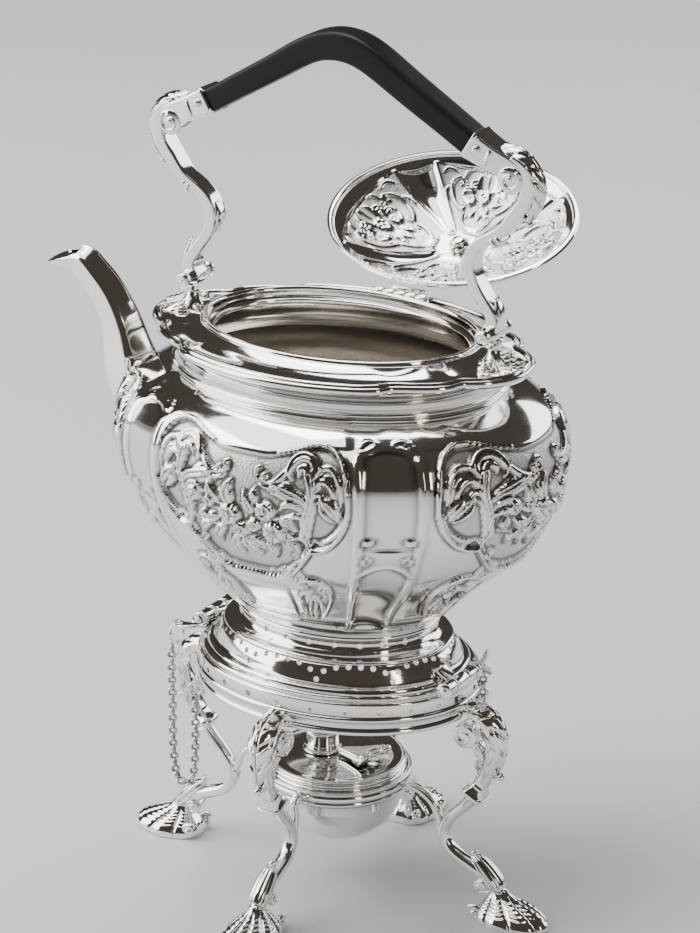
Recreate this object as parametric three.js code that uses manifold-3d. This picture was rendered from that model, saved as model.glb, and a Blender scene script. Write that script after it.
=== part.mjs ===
// Silver spirit kettle on its stand: an oval kettle with a hinged lid and a fixed swing-shaped handle,
// pinned to a four-legged stand that holds a spirit burner. Millimetres, +Z up, spout towards -X.
import * as THREE from "three";
import { mergeVertices } from "three/addons/utils/BufferGeometryUtils.js";
import Module from "manifold-3d";

const wasm = await Module();
wasm.setup();

// ---- driving dimensions ----
const GAP = 0.3; // clearance between pieces that touch
const OVAL = 0.79; // width of every oval section over its length
const STAND_CENTRE = [18.63, -18.63]; // the stand's axis, from the middle of the whole footprint

const STAND_RING = { a: 58, bottom: 83.5, top: 93.8 };
const PIN_X = 58; // both hinge axes run along Y at this distance from the centre
const PIN_Z = 101;
const FRONT_BARREL_Y = 2; // middle of the three knuckles, front (spout side)
const REAR_BARREL_Y = -8;
const KNUCKLE = { outer: 3.2, bore: 2.0, end: 7.2, middle: 7.6 };
const PIN_RADIUS = 1.5;
const DISC = { radius: 3.6, thickness: 1.6 };

const BODY_BOTTOM = 119;
const MOUTH = { a: 56.3, b: 41, z: 233 };
const WALL = 1.6;

const HINGE_Y = 45.5; // lid hinge axis, along X
const HINGE_Z = 231.3;
const LID = { a: 53.6, b: 38.6, rise: 17 };
const LID_OPEN = THREE.MathUtils.degToRad(-153); // turned back from closed to where it rests

const LEG_AXIS_X = 58; // ring edge where the front and rear legs stand
const LEG_AXIS_Y = 44.4; // and the left and right ones
const LEG_WIDTH = 8;

const BURNER = { r: 27.4, bandBottom: 41.6, bandTop: 52.4, bottom: 21 };
const FLAP_TURN = THREE.MathUtils.degToRad(-16);

const silver = (name) => new THREE.MeshStandardMaterial({ name, color: 0xd9d5cd, roughness: 0.16,
  metalness: 1 });
const MATERIALS = {
  silver: silver("silver"),
  grip: new THREE.MeshStandardMaterial({ name: "grip", color: 0x1c1d1f, roughness: 0.55, metalness: 0 }),
  wick: new THREE.MeshStandardMaterial({ name: "wick", color: 0xd8cdb8, roughness: 0.95, metalness: 0 }),
};

// ---- solids ----
const V = (x, y, z) => new THREE.Vector3(x, y, z);

// A closed surface through rings of equal point count; a loop joins its last ring to its first.
function loft(rings, { loop = false } = {}) {
  const n = rings[0].length;
  const points = rings.flat();
  const index = [];
  const spans = loop ? rings.length : rings.length - 1;
  for (let k = 0; k < spans; k++) {
    const lower = k * n;
    const upper = ((k + 1) % rings.length) * n;
    for (let i = 0; i < n; i++) {
      const j = (i + 1) % n;
      index.push(lower + i, lower + j, upper + j, lower + i, upper + j, upper + i);
    }
  }
  if (!loop) {
    [0, rings.length - 1].forEach((k, end) => {
      const middle = rings[k].reduce((sum, p) => sum.add(p), V(0, 0, 0)).divideScalar(n);
      const centre = points.push(middle) - 1;
      for (let i = 0; i < n; i++) {
        const pair = [k * n + i, k * n + ((i + 1) % n)];
        index.push(centre, ...(end ? pair : pair.reverse()));
      }
    });
  }
  const geometry = new THREE.BufferGeometry().setFromPoints(points);
  geometry.setIndex(index);
  return faceOut(geometry);
}

function signedVolume(geometry) {
  const p = geometry.getAttribute("position");
  const at = (i) => V(0, 0, 0).fromBufferAttribute(p, geometry.index.getX(i));
  let sum = 0;
  for (let i = 0; i < geometry.index.count; i += 3) sum += at(i).dot(at(i + 1).cross(at(i + 2)));
  return sum / 6;
}

function faceOut(geometry) {
  if (signedVolume(geometry) < 0) geometry.setIndex([...geometry.index.array].reverse());
  return geometry;
}

const turns = (n) => Array.from({ length: n }, (_, i) => (i / n) * 2 * Math.PI);
const ovalRing = (a, b, z, n) => turns(n).map((t) => V(a * Math.cos(t), b * Math.sin(t), z));

// An oval piece from a profile of [half length, z] points, or [half length, z, half width].
function ovalSolid(profile, { n = 40, loop = true, oval = OVAL } = {}) {
  return loft(profile.map(([a, z, b = a * oval]) => ovalRing(a, b, z, n)), { loop });
}

const roundSolid = (profile, { n = 24, loop = false } = {}) => ovalSolid(profile, { n, loop, oval: 1 });

// A bar that follows a smooth path in the XZ plane: stations are [x, z, half thickness, half width].
function planarBar(stations, { sides = 8, steps = 14, square = 0 } = {}) {
  const curve = new THREE.CatmullRomCurve3(stations.map(([x, z]) => V(x, 0, z)), false, "centripetal");
  const rings = [];
  for (let k = 0; k <= steps; k++) {
    const u = k / steps;
    const p = curve.getPoint(u);
    const t = curve.getTangent(u);
    const along = u * (stations.length - 1);
    const s = Math.min(Math.floor(along), stations.length - 2);
    const mix = (c) => THREE.MathUtils.lerp(stations[s][c], stations[s + 1][c], along - s);
    const power = 1 - square;
    rings.push(
      turns(sides).map((q) => {
        const c = Math.cos(q + Math.PI / sides);
        const w = Math.sin(q + Math.PI / sides);
        const high = Math.sign(c) * Math.abs(c) ** power * mix(2);
        return V(p.x - t.z * high, Math.sign(w) * Math.abs(w) ** power * mix(3), p.z + t.x * high);
      }),
    );
  }
  return loft(rings);
}

function solid(geometry) {
  const bare = new THREE.BufferGeometry().setAttribute("position", geometry.getAttribute("position").clone());
  if (geometry.index) bare.setIndex(geometry.index.clone());
  const merged = mergeVertices(bare, 1e-4);
  return new wasm.Manifold(
    new wasm.Mesh({ numProp: 3, vertProperties: merged.attributes.position.array,
      triVerts: new Uint32Array(merged.index.array) }),
  );
}

function geometryOf(manifold) {
  const mesh = manifold.getMesh();
  const geometry = new THREE.BufferGeometry();
  geometry.setAttribute("position", new THREE.BufferAttribute(mesh.vertProperties, 3));
  return geometry.setIndex(new THREE.BufferAttribute(mesh.triVerts, 1));
}

const join = (...parts) => geometryOf(parts.map(solid).reduce((a, b) => a.add(b)));
const cut = (part, ...tools) => geometryOf(tools.map(solid).reduce((a, b) => a.subtract(b), solid(part)));

const box = (x0, x1, y0, y1, z0, z1) =>
  new THREE.BoxGeometry(x1 - x0, y1 - y0, z1 - z0).translate((x0 + x1) / 2, (y0 + y1) / 2, (z0 + z1) / 2);
const rodY = (r, x, y0, y1, z, n = 16) =>
  new THREE.CylinderGeometry(r, r, y1 - y0, n).translate(x, (y0 + y1) / 2, z);
const rodX = (r, x0, x1, y, z, n = 12) =>
  new THREE.CylinderGeometry(r, r, x1 - x0, n).rotateZ(Math.PI / 2).translate((x0 + x1) / 2, y, z);

// ---- groups ----
const part = new THREE.Group(); // its origin is the middle of the whole piece's footprint, on the table
const assembly = new THREE.Group(); // and this one's is on the stand's own axis
const stand = new THREE.Group();
const kettle = new THREE.Group();
const lid = new THREE.Group();
const burner = new THREE.Group();
part.add(assembly);
assembly.position.set(...STAND_CENTRE, 0);
assembly.add(stand, kettle, burner);
kettle.add(lid);

function piece(parent, name, geometry, material = MATERIALS.silver) {
  const mesh = new THREE.Mesh(geometry, material);
  mesh.name = name;
  parent.add(mesh);
  return mesh;
}

// ---- kettle ----
const BODY_OUTLINE = [
  [38, BODY_BOTTOM], [41, 119.6], [52, 127], [66, 141.5], [78, 156], [87, 171], [91, 187], [88.5, 200],
  [80, 208.5], [67, 215.5],
];
const BODY_SIDES = 32;
const SPOUT_PATH = [
  [-84, 188, 14.5, 11], [-93.5, 197, 12, 10], [-98.5, 208, 10.2, 8.6], [-103.5, 219.5, 9, 7.6],
  [-111, 230, 7.6, 6.6], [-119.5, 236, 6.2, 5.6], [-127, 236.6, 3.6, 4.6], [-133.8, 234.6, 1.4, 3],
];
const shrink = (stations, by) => stations.map(([x, z, h, w]) => [x, z, h - by, w - by]);

function kettleBody() {
  const inner = BODY_OUTLINE.filter((_, k) => k % 2).map(([a, z]) => [a - WALL - 0.6,
    z + (z < 150 ? WALL : 0)]).reverse();
  const shell = loft([[0.01, BODY_BOTTOM], ...BODY_OUTLINE, ...inner, [0.01, BODY_BOTTOM + WALL]]
    .map(([a, z]) => ovalRing(a, a * OVAL, z, BODY_SIDES)));
  const spoutHole = planarBar([[-70, 184, 8.4, 6.6], [-84, 188, 8.4, 6.6], [-96, 200, 8.4, 6.6]], { steps: 2 });
  return cut(shell, spoutHole);
}

function spout() {
  const body = loft([[0.01, 150], [60, 150], ...BODY_OUTLINE.slice(3), [0.01, 216]].map(([a, z]) =>
    ovalRing(a + GAP, (a + GAP) * OVAL, z, BODY_SIDES)));
  const outside = planarBar(SPOUT_PATH, { sides: 8, steps: 12 });
  const bore = planarBar([[-70, 184, 9, 7], ...shrink(SPOUT_PATH.slice(0, 5), 3), [-119.5, 239, 3.8, 3.4],
    [-122, 252, 3.8, 3.4]], {
    sides: 8, steps: 12,
  });
  return cut(outside, body, bore);
}

// Outline of the collar in one quarter, from the tip of the end lobe to the middle of the long side.
const COLLAR_QUARTER = [[80, 0], [78.5, 9], [74, 16.5], [66.5, 22.5], [62, 27], [60.5, 31.5], [54, 36.5],
  [46.5, 40], [42, 44.5], [38, 49], [27, 53.5], [14, 56.8]];
const COLLAR_EDGE = 227;
function collarOutline() {
  const quarter = COLLAR_QUARTER.map(([x, y]) => [x, y]);
  const half = [...quarter, [0, 58], ...quarter.slice(1).reverse().map(([x, y]) => [-x, y])];
  return [...half, [-80, 0], ...half.slice(1).reverse().map(([x, y]) => [x, -y])];
}

// With a rise, the space over the collar that a piece standing on it keeps clear of.
function collar(rise = 0) {
  const outline = collarOutline();
  const inner = outline.map(([x, y]) => {
    const t = Math.atan2(y / MOUTH.b, x / MOUTH.a);
    return [(MOUTH.a + GAP) * Math.cos(t), (MOUTH.b + GAP) * Math.sin(t)];
  });
  const ring = (f, z) => outline.map(([x, y], i) => V(THREE.MathUtils.lerp(inner[i][0], x, f),
    THREE.MathUtils.lerp(inner[i][1], y, f), z));
  const top = [[0, 231.6], [0.18, 229.2], [0.5, 227.8], [0.94, COLLAR_EDGE + 1.2]].map(([f, z]) => [f,
    z + rise]);
  const under = [[1, COLLAR_EDGE], [0.97, COLLAR_EDGE - 1.6], [0.5, 226.1], [0, 226.3]];
  return loft([...top, ...under].map(([f, z]) => ring(f, z)), { loop: true });
}

// Pierced foot that carries the body down to the stand ring.
const FOOT_OUTLINE = [
  [39.5, 118.6], [40.5, 114.5], [45, 110], [49, 106], [50.6, 101.5], [52.6, 97.8], [55.4, 96.4],
  [55.6, STAND_RING.top + GAP],
];
function kettleFoot() {
  const inner = FOOT_OUTLINE.filter((_, k) => k % 2 === 0).map(([a, z]) => [a - 1.9, z]).reverse();
  return ovalSolid([...FOOT_OUTLINE, [53.5, FOOT_OUTLINE.at(-1)[1]], ...inner], { n: 32 });
}

function bodyPieces() {
  piece(kettle, "kettle_body", kettleBody());
  piece(kettle, "neck_band", ovalSolid([
    [66.5, 216.2, 52.4], [65.5, 218.5, 51.2], [62.5, 220, 48.6], [62.5, 222.6, 48.6], [65, 224.6, 51],
    [64.6, 225.7, 50.6],
    [58, 225.7, 44.4], [58, 216.2, 44.4],
  ], { n: 32 }));
  const hingePocket = box(-HINGE.half - 0.6, HINGE.half + 0.6, HINGE_Y - 1.9, HINGE_Y + 2.7,
    HINGE_Z - 3.4, HINGE_Z + 9);
  piece(kettle, "collar", cut(collar(), hingePocket));
  piece(kettle, "mouth_rim", ovalSolid([
    [MOUTH.a, 226.3, MOUTH.b], [MOUTH.a, 232.8, MOUTH.b], [MOUTH.a - 0.7, MOUTH.z, MOUTH.b - 0.7],
    [MOUTH.a - 1.6, MOUTH.z, MOUTH.b - 1.6], [MOUTH.a - 2, 229.4, MOUTH.b - 2], [MOUTH.a - 4.4, 229,
    MOUTH.b - 4.4],
    [MOUTH.a - 4.4, 226.3, MOUTH.b - 4.4],
  ], { n: 32 }));
  piece(kettle, "spout", spout());
  piece(kettle, "kettle_foot", kettleFoot());
}

// ---- handle ----
const COLUMN = [
  [66, 239.6, 3.4, 4.6], [66.4, 245, 2.4, 4.2], [62.5, 251.5, 2.1, 4], [57.3, 259.5, 2.2, 4],
  [54.8, 266.3, 2.4, 4], [56.8, 271.6, 2.4, 4],
  [62, 275.6, 2.4, 4.1], [68, 280, 3.6, 4.6], [72.5, 286, 2.8, 4.4], [78.5, 292, 3.6, 4.4],
  [81, 298.5, 4.2, 4.4], [77.5, 304, 4.6, 4.6],
];
const SOCKET = [[73.8, 305.6, 4.2, 4.6], [68.5, 307.4, 4.4, 5], [62, 309.6, 5.2, 6], [56.4, 312.2, 5.4, 6.4]];
const GRIP_HALF = [[55.9, 312.4, 4.8, 5.9], [41, 321.8, 5, 5.9], [27.5, 331.2, 5.3, 6],
  [14, 338.8, 5.6, 6], [5.5, 341, 5.7, 6]];

function handlePieces() {
  for (const [end, sign] of [["front", -1], ["rear", 1]]) {
    const mirrored = (stations) => stations.map(([x, ...rest]) => [sign * x, ...rest]);
    const foot = loft([[69.4, 9.4, 10, 227.4], [69.4, 9.8, 10.6, 230], [68.6, 8.4, 8, 234],
      [67, 5.4, 4.8, 236.2]].map(([x, a, b, z]) =>
      ovalRing(a, b, z, 16).map((p) => p.add(V(sign * x, 0, 0)))));
    piece(kettle, `handle_foot_${end}`, cut(foot, collar(GAP)));
    piece(kettle, `handle_column_${end}`, planarBar(mirrored(COLUMN), { sides: 6, steps: 20, square: 0.3 }));
    const socket = planarBar(mirrored(SOCKET), { sides: 8, steps: 4, square: 0.5 });
    const keep = planarBar(mirrored(COLUMN.slice(-4)), { sides: 6, steps: 8, square: 0.3 }).scale(1, 1.4, 1);
    piece(kettle, `handle_socket_${end}`, cut(socket, keep.translate(0, 0, 0.6)));
    piece(kettle, `handle_rivet_${end}`, rodY(1.5, sign * 59.5, -7.6, -6.9, 310.8, 10));
  }
  const left = GRIP_HALF.map(([x, ...rest]) => [-(x - 2.2), rest[0] + 1, ...rest.slice(1)]);
  const right = GRIP_HALF.map(([x, ...rest]) => [x - 2.2, rest[0] + 1, ...rest.slice(1)]).reverse();
  const grip = planarBar([...left, ...right], { sides: 8, steps: 18, square: 0.6 });
  piece(kettle, "handle_grip", grip, MATERIALS.grip);
}

// ---- lid, built closed about its hinge axis and turned back ----
function lidPieces() {
  lid.position.set(0, HINGE_Y, HINGE_Z);
  lid.rotation.x = LID_OPEN;
  const shell = (f, z) => ovalRing(LID.a * f, LID.b * f, z, 28).map((p) => p.add(V(0, -HINGE_Y, 0)));
  const outside = [[0.95, 1.4], [0.88, 3.2], [0.72, 9], [0.46, 14], [0.05, 16.8]];
  const inside = outside.map(([f, z]) => [f, z - 1.3]).reverse();
  piece(lid, "lid_dome", loft([...outside, ...inside].map(([f, z]) => shell(f, z)), { loop: true }));
  const rim = [[1, 0.6], [1, -1], [0.958, -1], [0.958, 0.8], [0.98, 0.9]];
  piece(lid, "lid_rim", loft(rim.map(([f, z]) => shell(f, z - 0.3)), { loop: true }));
  const round = (profile, n = 14) => roundSolid(profile, { n }).translate(0, -HINGE_Y, 0);
  piece(lid, "lid_finial", round([
    [1.2, 14.9], [1.2, 17.2], [6, 17.2], [6.4, 18.2], [2.4, 19.6], [3, 21.5], [6, 24], [6.2, 26], [4, 29],
    [1.4, 31.4],
  ], 12));
  piece(lid, "lid_finial_nut", round([[3, 12], [4.2, 12.8], [4.2, 14], [2.4, 14.6]], 12));
}

const HINGE = { half: 12, radius: 2.1, bore: 1.1, pin: 0.8, knuckles: 5 };
function hingePieces() {
  const step = (2 * HINGE.half) / HINGE.knuckles;
  const pick = (odd) => Array.from({ length: HINGE.knuckles }, (_, k) => k).filter((k) => k % 2 === odd);
  const span = (k) => [-HINGE.half + k * step + 0.15, -HINGE.half + (k + 1) * step - 0.15];
  const barrel = (k) => rodX(HINGE.radius, ...span(k), 0, 0);
  const bore = rodX(HINGE.bore, -20, 20, 0, 0);
  // The fixed leaf lies in the collar behind the mouth; the moving one reaches over the rim to the lid.
  const plate = box(-HINGE.half, HINGE.half, -1.4, 2, -3.1, -2.4);
  const posts = pick(0).map((k) => box(...span(k), -1.2, 1.2, -2.8, -1.2));
  const fixed = cut(join(plate, ...posts, ...pick(0).map(barrel)), bore);
  piece(kettle, "lid_hinge_leaf_kettle", fixed.translate(0, HINGE_Y, HINGE_Z));
  const webs = pick(1).flatMap((k) => [box(...span(k), -4, -0.8, 0.8, 2.8), box(...span(k), -7, -3.9, 2.1,
    2.8)]);
  const tie = box(-HINGE.half + 4.4, HINGE.half - 4.4, -8, -4.8, 2.1, 2.8);
  piece(lid, "lid_hinge_leaf", cut(join(...pick(1).map(barrel), ...webs, tie), bore));
  piece(lid, "lid_hinge_pin", rodX(HINGE.pin, -HINGE.half - 0.8, HINGE.half + 0.8, 0, 0, 8));
}

// ---- lugs and knuckles: three to each barrel, the middle one on the kettle ----
function knuckle(x, y0, y1) {
  return cut(rodY(KNUCKLE.outer, x, y0, y1, PIN_Z), rodY(KNUCKLE.bore, x, y0 - 1, y1 + 1, PIN_Z, 12));
}

function lugPieces() {
  const middle = KNUCKLE.middle / 2;
  const footWall = ovalSolid([[1, 90], [55.9, 90], [55.9, 96.9], [51.9, 99.5], [50.3, 103.5],
    [48.8, 106.5], [45.3, 110], [1, 110]], { loop: false });
  const frontWeb = box(-PIN_X + 2.4, -50, FRONT_BARREL_Y - middle, FRONT_BARREL_Y + middle, PIN_Z - 1.6,
    PIN_Z + 2.2);
  const frontTube = rodY(KNUCKLE.outer, -PIN_X, FRONT_BARREL_Y - middle, FRONT_BARREL_Y + middle, PIN_Z);
  const frontBore = rodY(KNUCKLE.bore, -PIN_X, FRONT_BARREL_Y - 9, FRONT_BARREL_Y + 9, PIN_Z, 12);
  piece(kettle, "front_lug", cut(join(frontTube, frontWeb), frontBore, footWall));
  const saddle = box(50, PIN_X + 3.4, REAR_BARREL_Y - middle, REAR_BARREL_Y + middle, PIN_Z - 1.4, PIN_Z + 3.6);
  const slot = box(PIN_X - 2.1, PIN_X + 2.1, REAR_BARREL_Y - 9, REAR_BARREL_Y + 9, PIN_Z - 9, PIN_Z + 2);
  piece(kettle, "rear_lug", cut(saddle, slot, footWall));
  for (const [end, sign, y] of [["front", -1, FRONT_BARREL_Y], ["rear", 1, REAR_BARREL_Y]]) {
    for (const [side, way] of [["left", -1], ["right", 1]]) {
      const near = y + way * (middle + 0.35);
      const far = near + way * KNUCKLE.end;
      const [y0, y1] = [Math.min(near, far), Math.max(near, far)];
      const x = sign * PIN_X;
      const web = box(x - 1.3, x + 1.3, y0, y1, STAND_RING.top + GAP, PIN_Z - 2.4).translate(sign * 0.3, 0, 0);
      const tube = knuckle(x, y0, y1);
      const bore = rodY(KNUCKLE.bore, x, y0 - 1, y1 + 1, PIN_Z, 12);
      piece(stand, `${end}_knuckle_${side}`, cut(join(tube, web), bore));
    }
  }
}

// ---- pins, thumb pieces, rings and chains; each pin draws out towards "way" along Y ----
const THUMB = { middle: 1.9, half: 8, start: 1.4, thickness: 1.2, holeY: 5.9, holeRadius: 1.4 };
const RING = { wire: 0.65, pin: 4.2, eye: 2.6 };
const PIN_REACH = KNUCKLE.middle / 2 + 0.35 + KNUCKLE.end; // from the barrel's middle to its end
const PINS = [
  {
    end: "front", x: -PIN_X, y: FRONT_BARREL_Y, way: -1, turn: 0.12, holeX: 4, droop: [0, 0.92, -0.4],
    eye: [-49.2, -27.4], chainBottom: 35.5,
  },
  {
    end: "rear", x: PIN_X, y: REAR_BARREL_Y, way: 1, turn: -1.1, holeX: 0.6, droop: [-0.32, 0.71, -0.63],
    eye: [49.2, 27.4], chainBottom: 40,
  },
];

function thumbPiece(holeX) {
  const { middle, half, start, thickness, holeY, holeRadius } = THUMB;
  const shape = new THREE.Shape();
  shape.moveTo(middle - half, 1.2);
  shape.quadraticCurveTo(middle, 5.4, middle + half, 1.2);
  shape.quadraticCurveTo(middle + half * 0.8, 5.5, middle + 3.4, 7.6);
  shape.quadraticCurveTo(middle, 9, middle - 3.4, 7.6);
  shape.quadraticCurveTo(middle - half * 0.8, 5.5, middle - half, 1.2);
  shape.holes.push(new THREE.Path().absarc(holeX, holeY, holeRadius, 0, 2 * Math.PI, true));
  return new THREE.ExtrudeGeometry(shape, { depth: thickness, bevelEnabled: false, curveSegments: 5 })
    .translate(0, start, -thickness / 2);
}

// A wire ring whose plane holds both directions given.
function ringIn(radius, u, v) {
  const normal = u.clone().cross(v).normalize();
  const turn = new THREE.Quaternion().setFromUnitVectors(V(0, 0, 1), normal);
  return new THREE.TorusGeometry(radius, RING.wire, 5, 16).applyQuaternion(turn);
}

function pinPieces() {
  for (const { end, x, y, way, turn, holeX, droop, eye, chainBottom } of PINS) {
    const group = new THREE.Group();
    group.position.set(x, y + way * (PIN_REACH + GAP), PIN_Z);
    group.rotation.z = way > 0 ? 0 : Math.PI;
    assembly.add(group);
    // in this group +Y is the way out
    const shaft = rodY(PIN_RADIUS, 0, -2 * PIN_REACH - 1.4, 0.5, 0, 12);
    const disc = rodY(DISC.radius, 0, 0, DISC.thickness, 0, 16);
    const neck = rodY(1.3, 0, 1, 4, 0, 10);
    piece(group, `${end}_pin`, join(shaft, disc, neck));
    piece(group, `${end}_pin_thumb`, cut(thumbPiece(holeX).rotateY(turn), rodY(1.6, 0, 0, 4.3, 0, 10)));
    // the ring passes through the thumb piece's hole and droops off its edge
    const axis = V(0, 1, 0);
    const hole = V(holeX, THUMB.start + THUMB.holeY, 0).applyAxisAngle(axis, turn);
    const down = V(...droop).normalize();
    const centre = hole.clone().addScaledVector(down, RING.pin);
    const through = V(0, 0, 1).applyAxisAngle(axis, turn);
    piece(group, `${end}_pin_ring`, ringIn(RING.pin, down, through).translate(...centre));
    group.updateMatrix();
    const top = centre.applyMatrix4(group.matrix).add(V(0, 0, -RING.pin - RING.wire - GAP));
    const eyeZ = STAND_RING.bottom - GAP - RING.eye - RING.wire;
    const eyeRing = ringIn(RING.eye, V(0, 0, 1), V(1, 0.5, 0)).translate(eye[0], eye[1], eyeZ);
    piece(stand, `${end}_chain_eye`, eyeRing);
    chainPieces(end, top, V(eye[0], eye[1], eyeZ - RING.eye - RING.wire - GAP), chainBottom);
  }
}

// Each chain hangs as a loop of two strands that meet at its lowest point.
const CHAIN_RADIUS = 1.8;
function chainPieces(end, top, low, floor) {
  const middle = V((top.x + low.x) / 2, (top.y + low.y) / 2, floor);
  for (const [side, from] of [["pin", top], ["stand", low]]) {
    const away = V(from.x - middle.x, from.y - middle.y, 0).setLength(CHAIN_RADIUS + 0.25);
    const rings = [from.z, (from.z + floor) / 2, floor].map((z, k) =>
      ovalRing(CHAIN_RADIUS, CHAIN_RADIUS, z, 8).map((p) => p.add(V(
        THREE.MathUtils.lerp(from.x, middle.x + away.x, k / 2),
        THREE.MathUtils.lerp(from.y, middle.y + away.y, k / 2), 0))));
    piece(assembly, `${end}_chain_${side}_side`, loft(rings));
  }
}

// ---- stand ----
const LEG = [
  [-1.2, 91.5, 1.6, 4.6], [6, 90, 3, 4.8], [13, 85, 3.4, 5], [14.2, 76, 3.6, 4.9], [12.2, 65, 3.6, 4.6],
  [7.6, 56, 4.2, 4.8],
  [3.4, 50, 5, 5], [-0.4, 45.6, 2.4, 2.4], [-6.8, 38.2, 2.2, 2.2], [-9.6, 31, 2.1, 2.1], [-7, 24.4, 2.2, 2.3],
  [0, 20.4, 2.6, 3.2], [7, 17.6, 3.4, 4], [12.6, 14.6, 3, 3.6],
];
const VOLUTE = { r: 1.2, z: 76.4, radius: 5.4 };
const FOOT_RINGS = [[22.5, 16, 13, 0], [22.5, 16.4, 13.6, 2.4], [21, 13.6, 10.6, 7], [17.5, 8, 6.6, 10.6],
  [15.6, 4, 4.2, 12.2]];
const STRUT = [[-14, 30, 1.6, 2], [-12.8, 36.4, 1.9, 2], [-12.6, 41, 1.9, 2], [-16, 45.6, 1.9, 2],
  [-22, 47.8, 1.8, 2], [-26.6, 47.4, 1.7, 1.9]];
const STRUT_SHORT = [[-13.6, 31, 1.1, 2], [-12.2, 36.6, 1.1, 2], [-11.7, 41, 1.1, 2], [-12.3, 45.6, 1, 1.9]];
const HOLDER = { inner: 27.9, outer: 30, bottom: 43.6, top: 49.4 };

const LEGS = [["rear", 0, LEG_AXIS_X], ["right", 90, LEG_AXIS_Y], ["front", 180, LEG_AXIS_X],
  ["left", 270, LEG_AXIS_Y]];

function standPieces() {
  const ringProfile = [
    [STAND_RING.a - 0.6, STAND_RING.bottom], [STAND_RING.a, 85.8], [STAND_RING.a - 2.4, 88],
    [STAND_RING.a - 2, 91], [STAND_RING.a, 92.4],
    [STAND_RING.a, STAND_RING.top], [STAND_RING.a - 6, STAND_RING.top], [STAND_RING.a - 5, 90],
    [STAND_RING.a - 4.4, STAND_RING.bottom],
  ];
  const ring = ovalSolid(ringProfile, { n: 32 });
  for (const [name, degrees, axis] of LEGS) {
    const group = new THREE.Group();
    group.rotation.z = THREE.MathUtils.degToRad(degrees);
    stand.add(group);
    const outward = (stations) => stations.map(([r, ...rest]) => [axis + r, ...rest]);
    const bar = planarBar(outward(LEG), { sides: 6, steps: 22, square: 0.1 });
    const volute = rodY(VOLUTE.radius, axis + VOLUTE.r, -LEG_WIDTH / 2 - 0.6, LEG_WIDTH / 2 + 0.6,
      VOLUTE.z, 16);
    const bridge = box(axis + 1, axis + 12, -3.4, 3.4, 73.4, 79.4);
    const ringSpace = ovalSolid([[1, 82], [58.4, 82], [58.4, 95], [1, 95]], { loop: false })
      .rotateZ(-THREE.MathUtils.degToRad(degrees));
    piece(group, `leg_${name}`, cut(join(bar, volute, bridge), ringSpace, box(axis + 9, axis + 21, -9, 9,
      3, 12.6)));
    const foot = loft(FOOT_RINGS.map(([r, a, b, z]) => ovalRing(a, b, z,
      14).map((p) => p.add(V(axis + r, 0, 0)))));
    piece(group, `foot_${name}`, foot);
    const strut = axis === LEG_AXIS_X ? STRUT : STRUT_SHORT;
    piece(group, `strut_${name}`, planarBar(outward(strut), { sides: 6, steps: 6 }));
  }
  piece(stand, "stand_ring", ring);
  const mid = (HOLDER.bottom + HOLDER.top) / 2;
  piece(stand, "burner_holder", roundSolid([
    [HOLDER.inner, HOLDER.bottom], [HOLDER.outer, HOLDER.bottom + 0.8], [HOLDER.outer - 0.6, mid],
    [HOLDER.outer, HOLDER.top - 0.8],
    [HOLDER.inner, HOLDER.top],
  ], { loop: true, n: 24 }));
}

// ---- burner ----
const TUBE = { x: -6.8, y: 0, r: 6.4, top: 68 };
const FLAP = { x: 10.2, y: 2, half: 6.2, length: 7.6, z: 56.2 };
function burnerPieces() {
  const { r, bandBottom, bandTop, bottom } = BURNER;
  piece(burner, "burner_font", roundSolid([
    [9, bottom], [17, 23.6], [22.5, 28.4], [26, 35], [r, bandBottom], [r, 51.6], [r - 1, bandTop],
    [10, bandTop + 1.2],
  ], { n: 24 }));
  const base = bandTop + 1.2 + GAP;
  const tube = roundSolid([
    [TUBE.r + 0.8, base], [TUBE.r + 0.8, base + 1.4], [TUBE.r, base + 2], [TUBE.r, 62],
    [TUBE.r + 0.6, 62.6], [TUBE.r, 63.4],
    [TUBE.r - 0.3, TUBE.top], [TUBE.r - 1.6, TUBE.top], [TUBE.r - 1.6, base],
  ], { loop: true, n: 16 });
  piece(burner, "wick_tube", tube.translate(TUBE.x, TUBE.y, 0));
  piece(burner, "wick", roundSolid([[4.4, base + 0.4], [4.4, TUBE.top + 1], [3, TUBE.top + 2.4]],
    { n: 12 }).translate(TUBE.x, TUBE.y, 0), MATERIALS.wick);
  const hatch = new THREE.Group();
  hatch.position.set(FLAP.x, FLAP.y, FLAP.z);
  hatch.rotation.z = FLAP_TURN;
  burner.add(hatch);
  const { half, length } = FLAP;
  const axisX = half + 1.2; // hinge axis runs along Y on the side away from the tube
  const pinBore = rodY(0.75, axisX, -length - 2, length + 2, 1.2, 10);
  const tubeAlong = (y0, y1) => rodY(1.35, axisX, y0, y1, 1.2, 12);
  const frame = join(box(-half, axisX + 0.6, -length, length, -1.2, 0.1),
    roundSolid([[3.6, -2.2], [3.6, -1]], { n: 12 }),
    tubeAlong(-length, -3.2), tubeAlong(3.2, length));
  const flapRoom = box(axisX - 1.8, axisX + 2, -3.1, 3.1, -0.5, 3);
  piece(hatch, "burner_flap_frame", cut(frame, pinBore, flapRoom));
  const plate = join(box(-half, half - 0.6, -length, length, 0.35, 1.5), tubeAlong(-2.9, 2.9),
    box(half - 1, axisX, -2.9, 2.9, 1, 2.2));
  piece(hatch, "burner_flap", cut(plate, pinBore));
  piece(hatch, "burner_flap_pin", rodY(0.5, axisX, -length - 0.8, length + 0.8, 1.2, 8));
}

bodyPieces();
handlePieces();
lidPieces();
hingePieces();
lugPieces();
standPieces();
pinPieces();
burnerPieces();

export default part;
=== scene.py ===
"""Silver kettle on its stand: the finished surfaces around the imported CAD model."""
import math

import bpy
import numpy as np
from mathutils import Matrix, Vector


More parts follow.
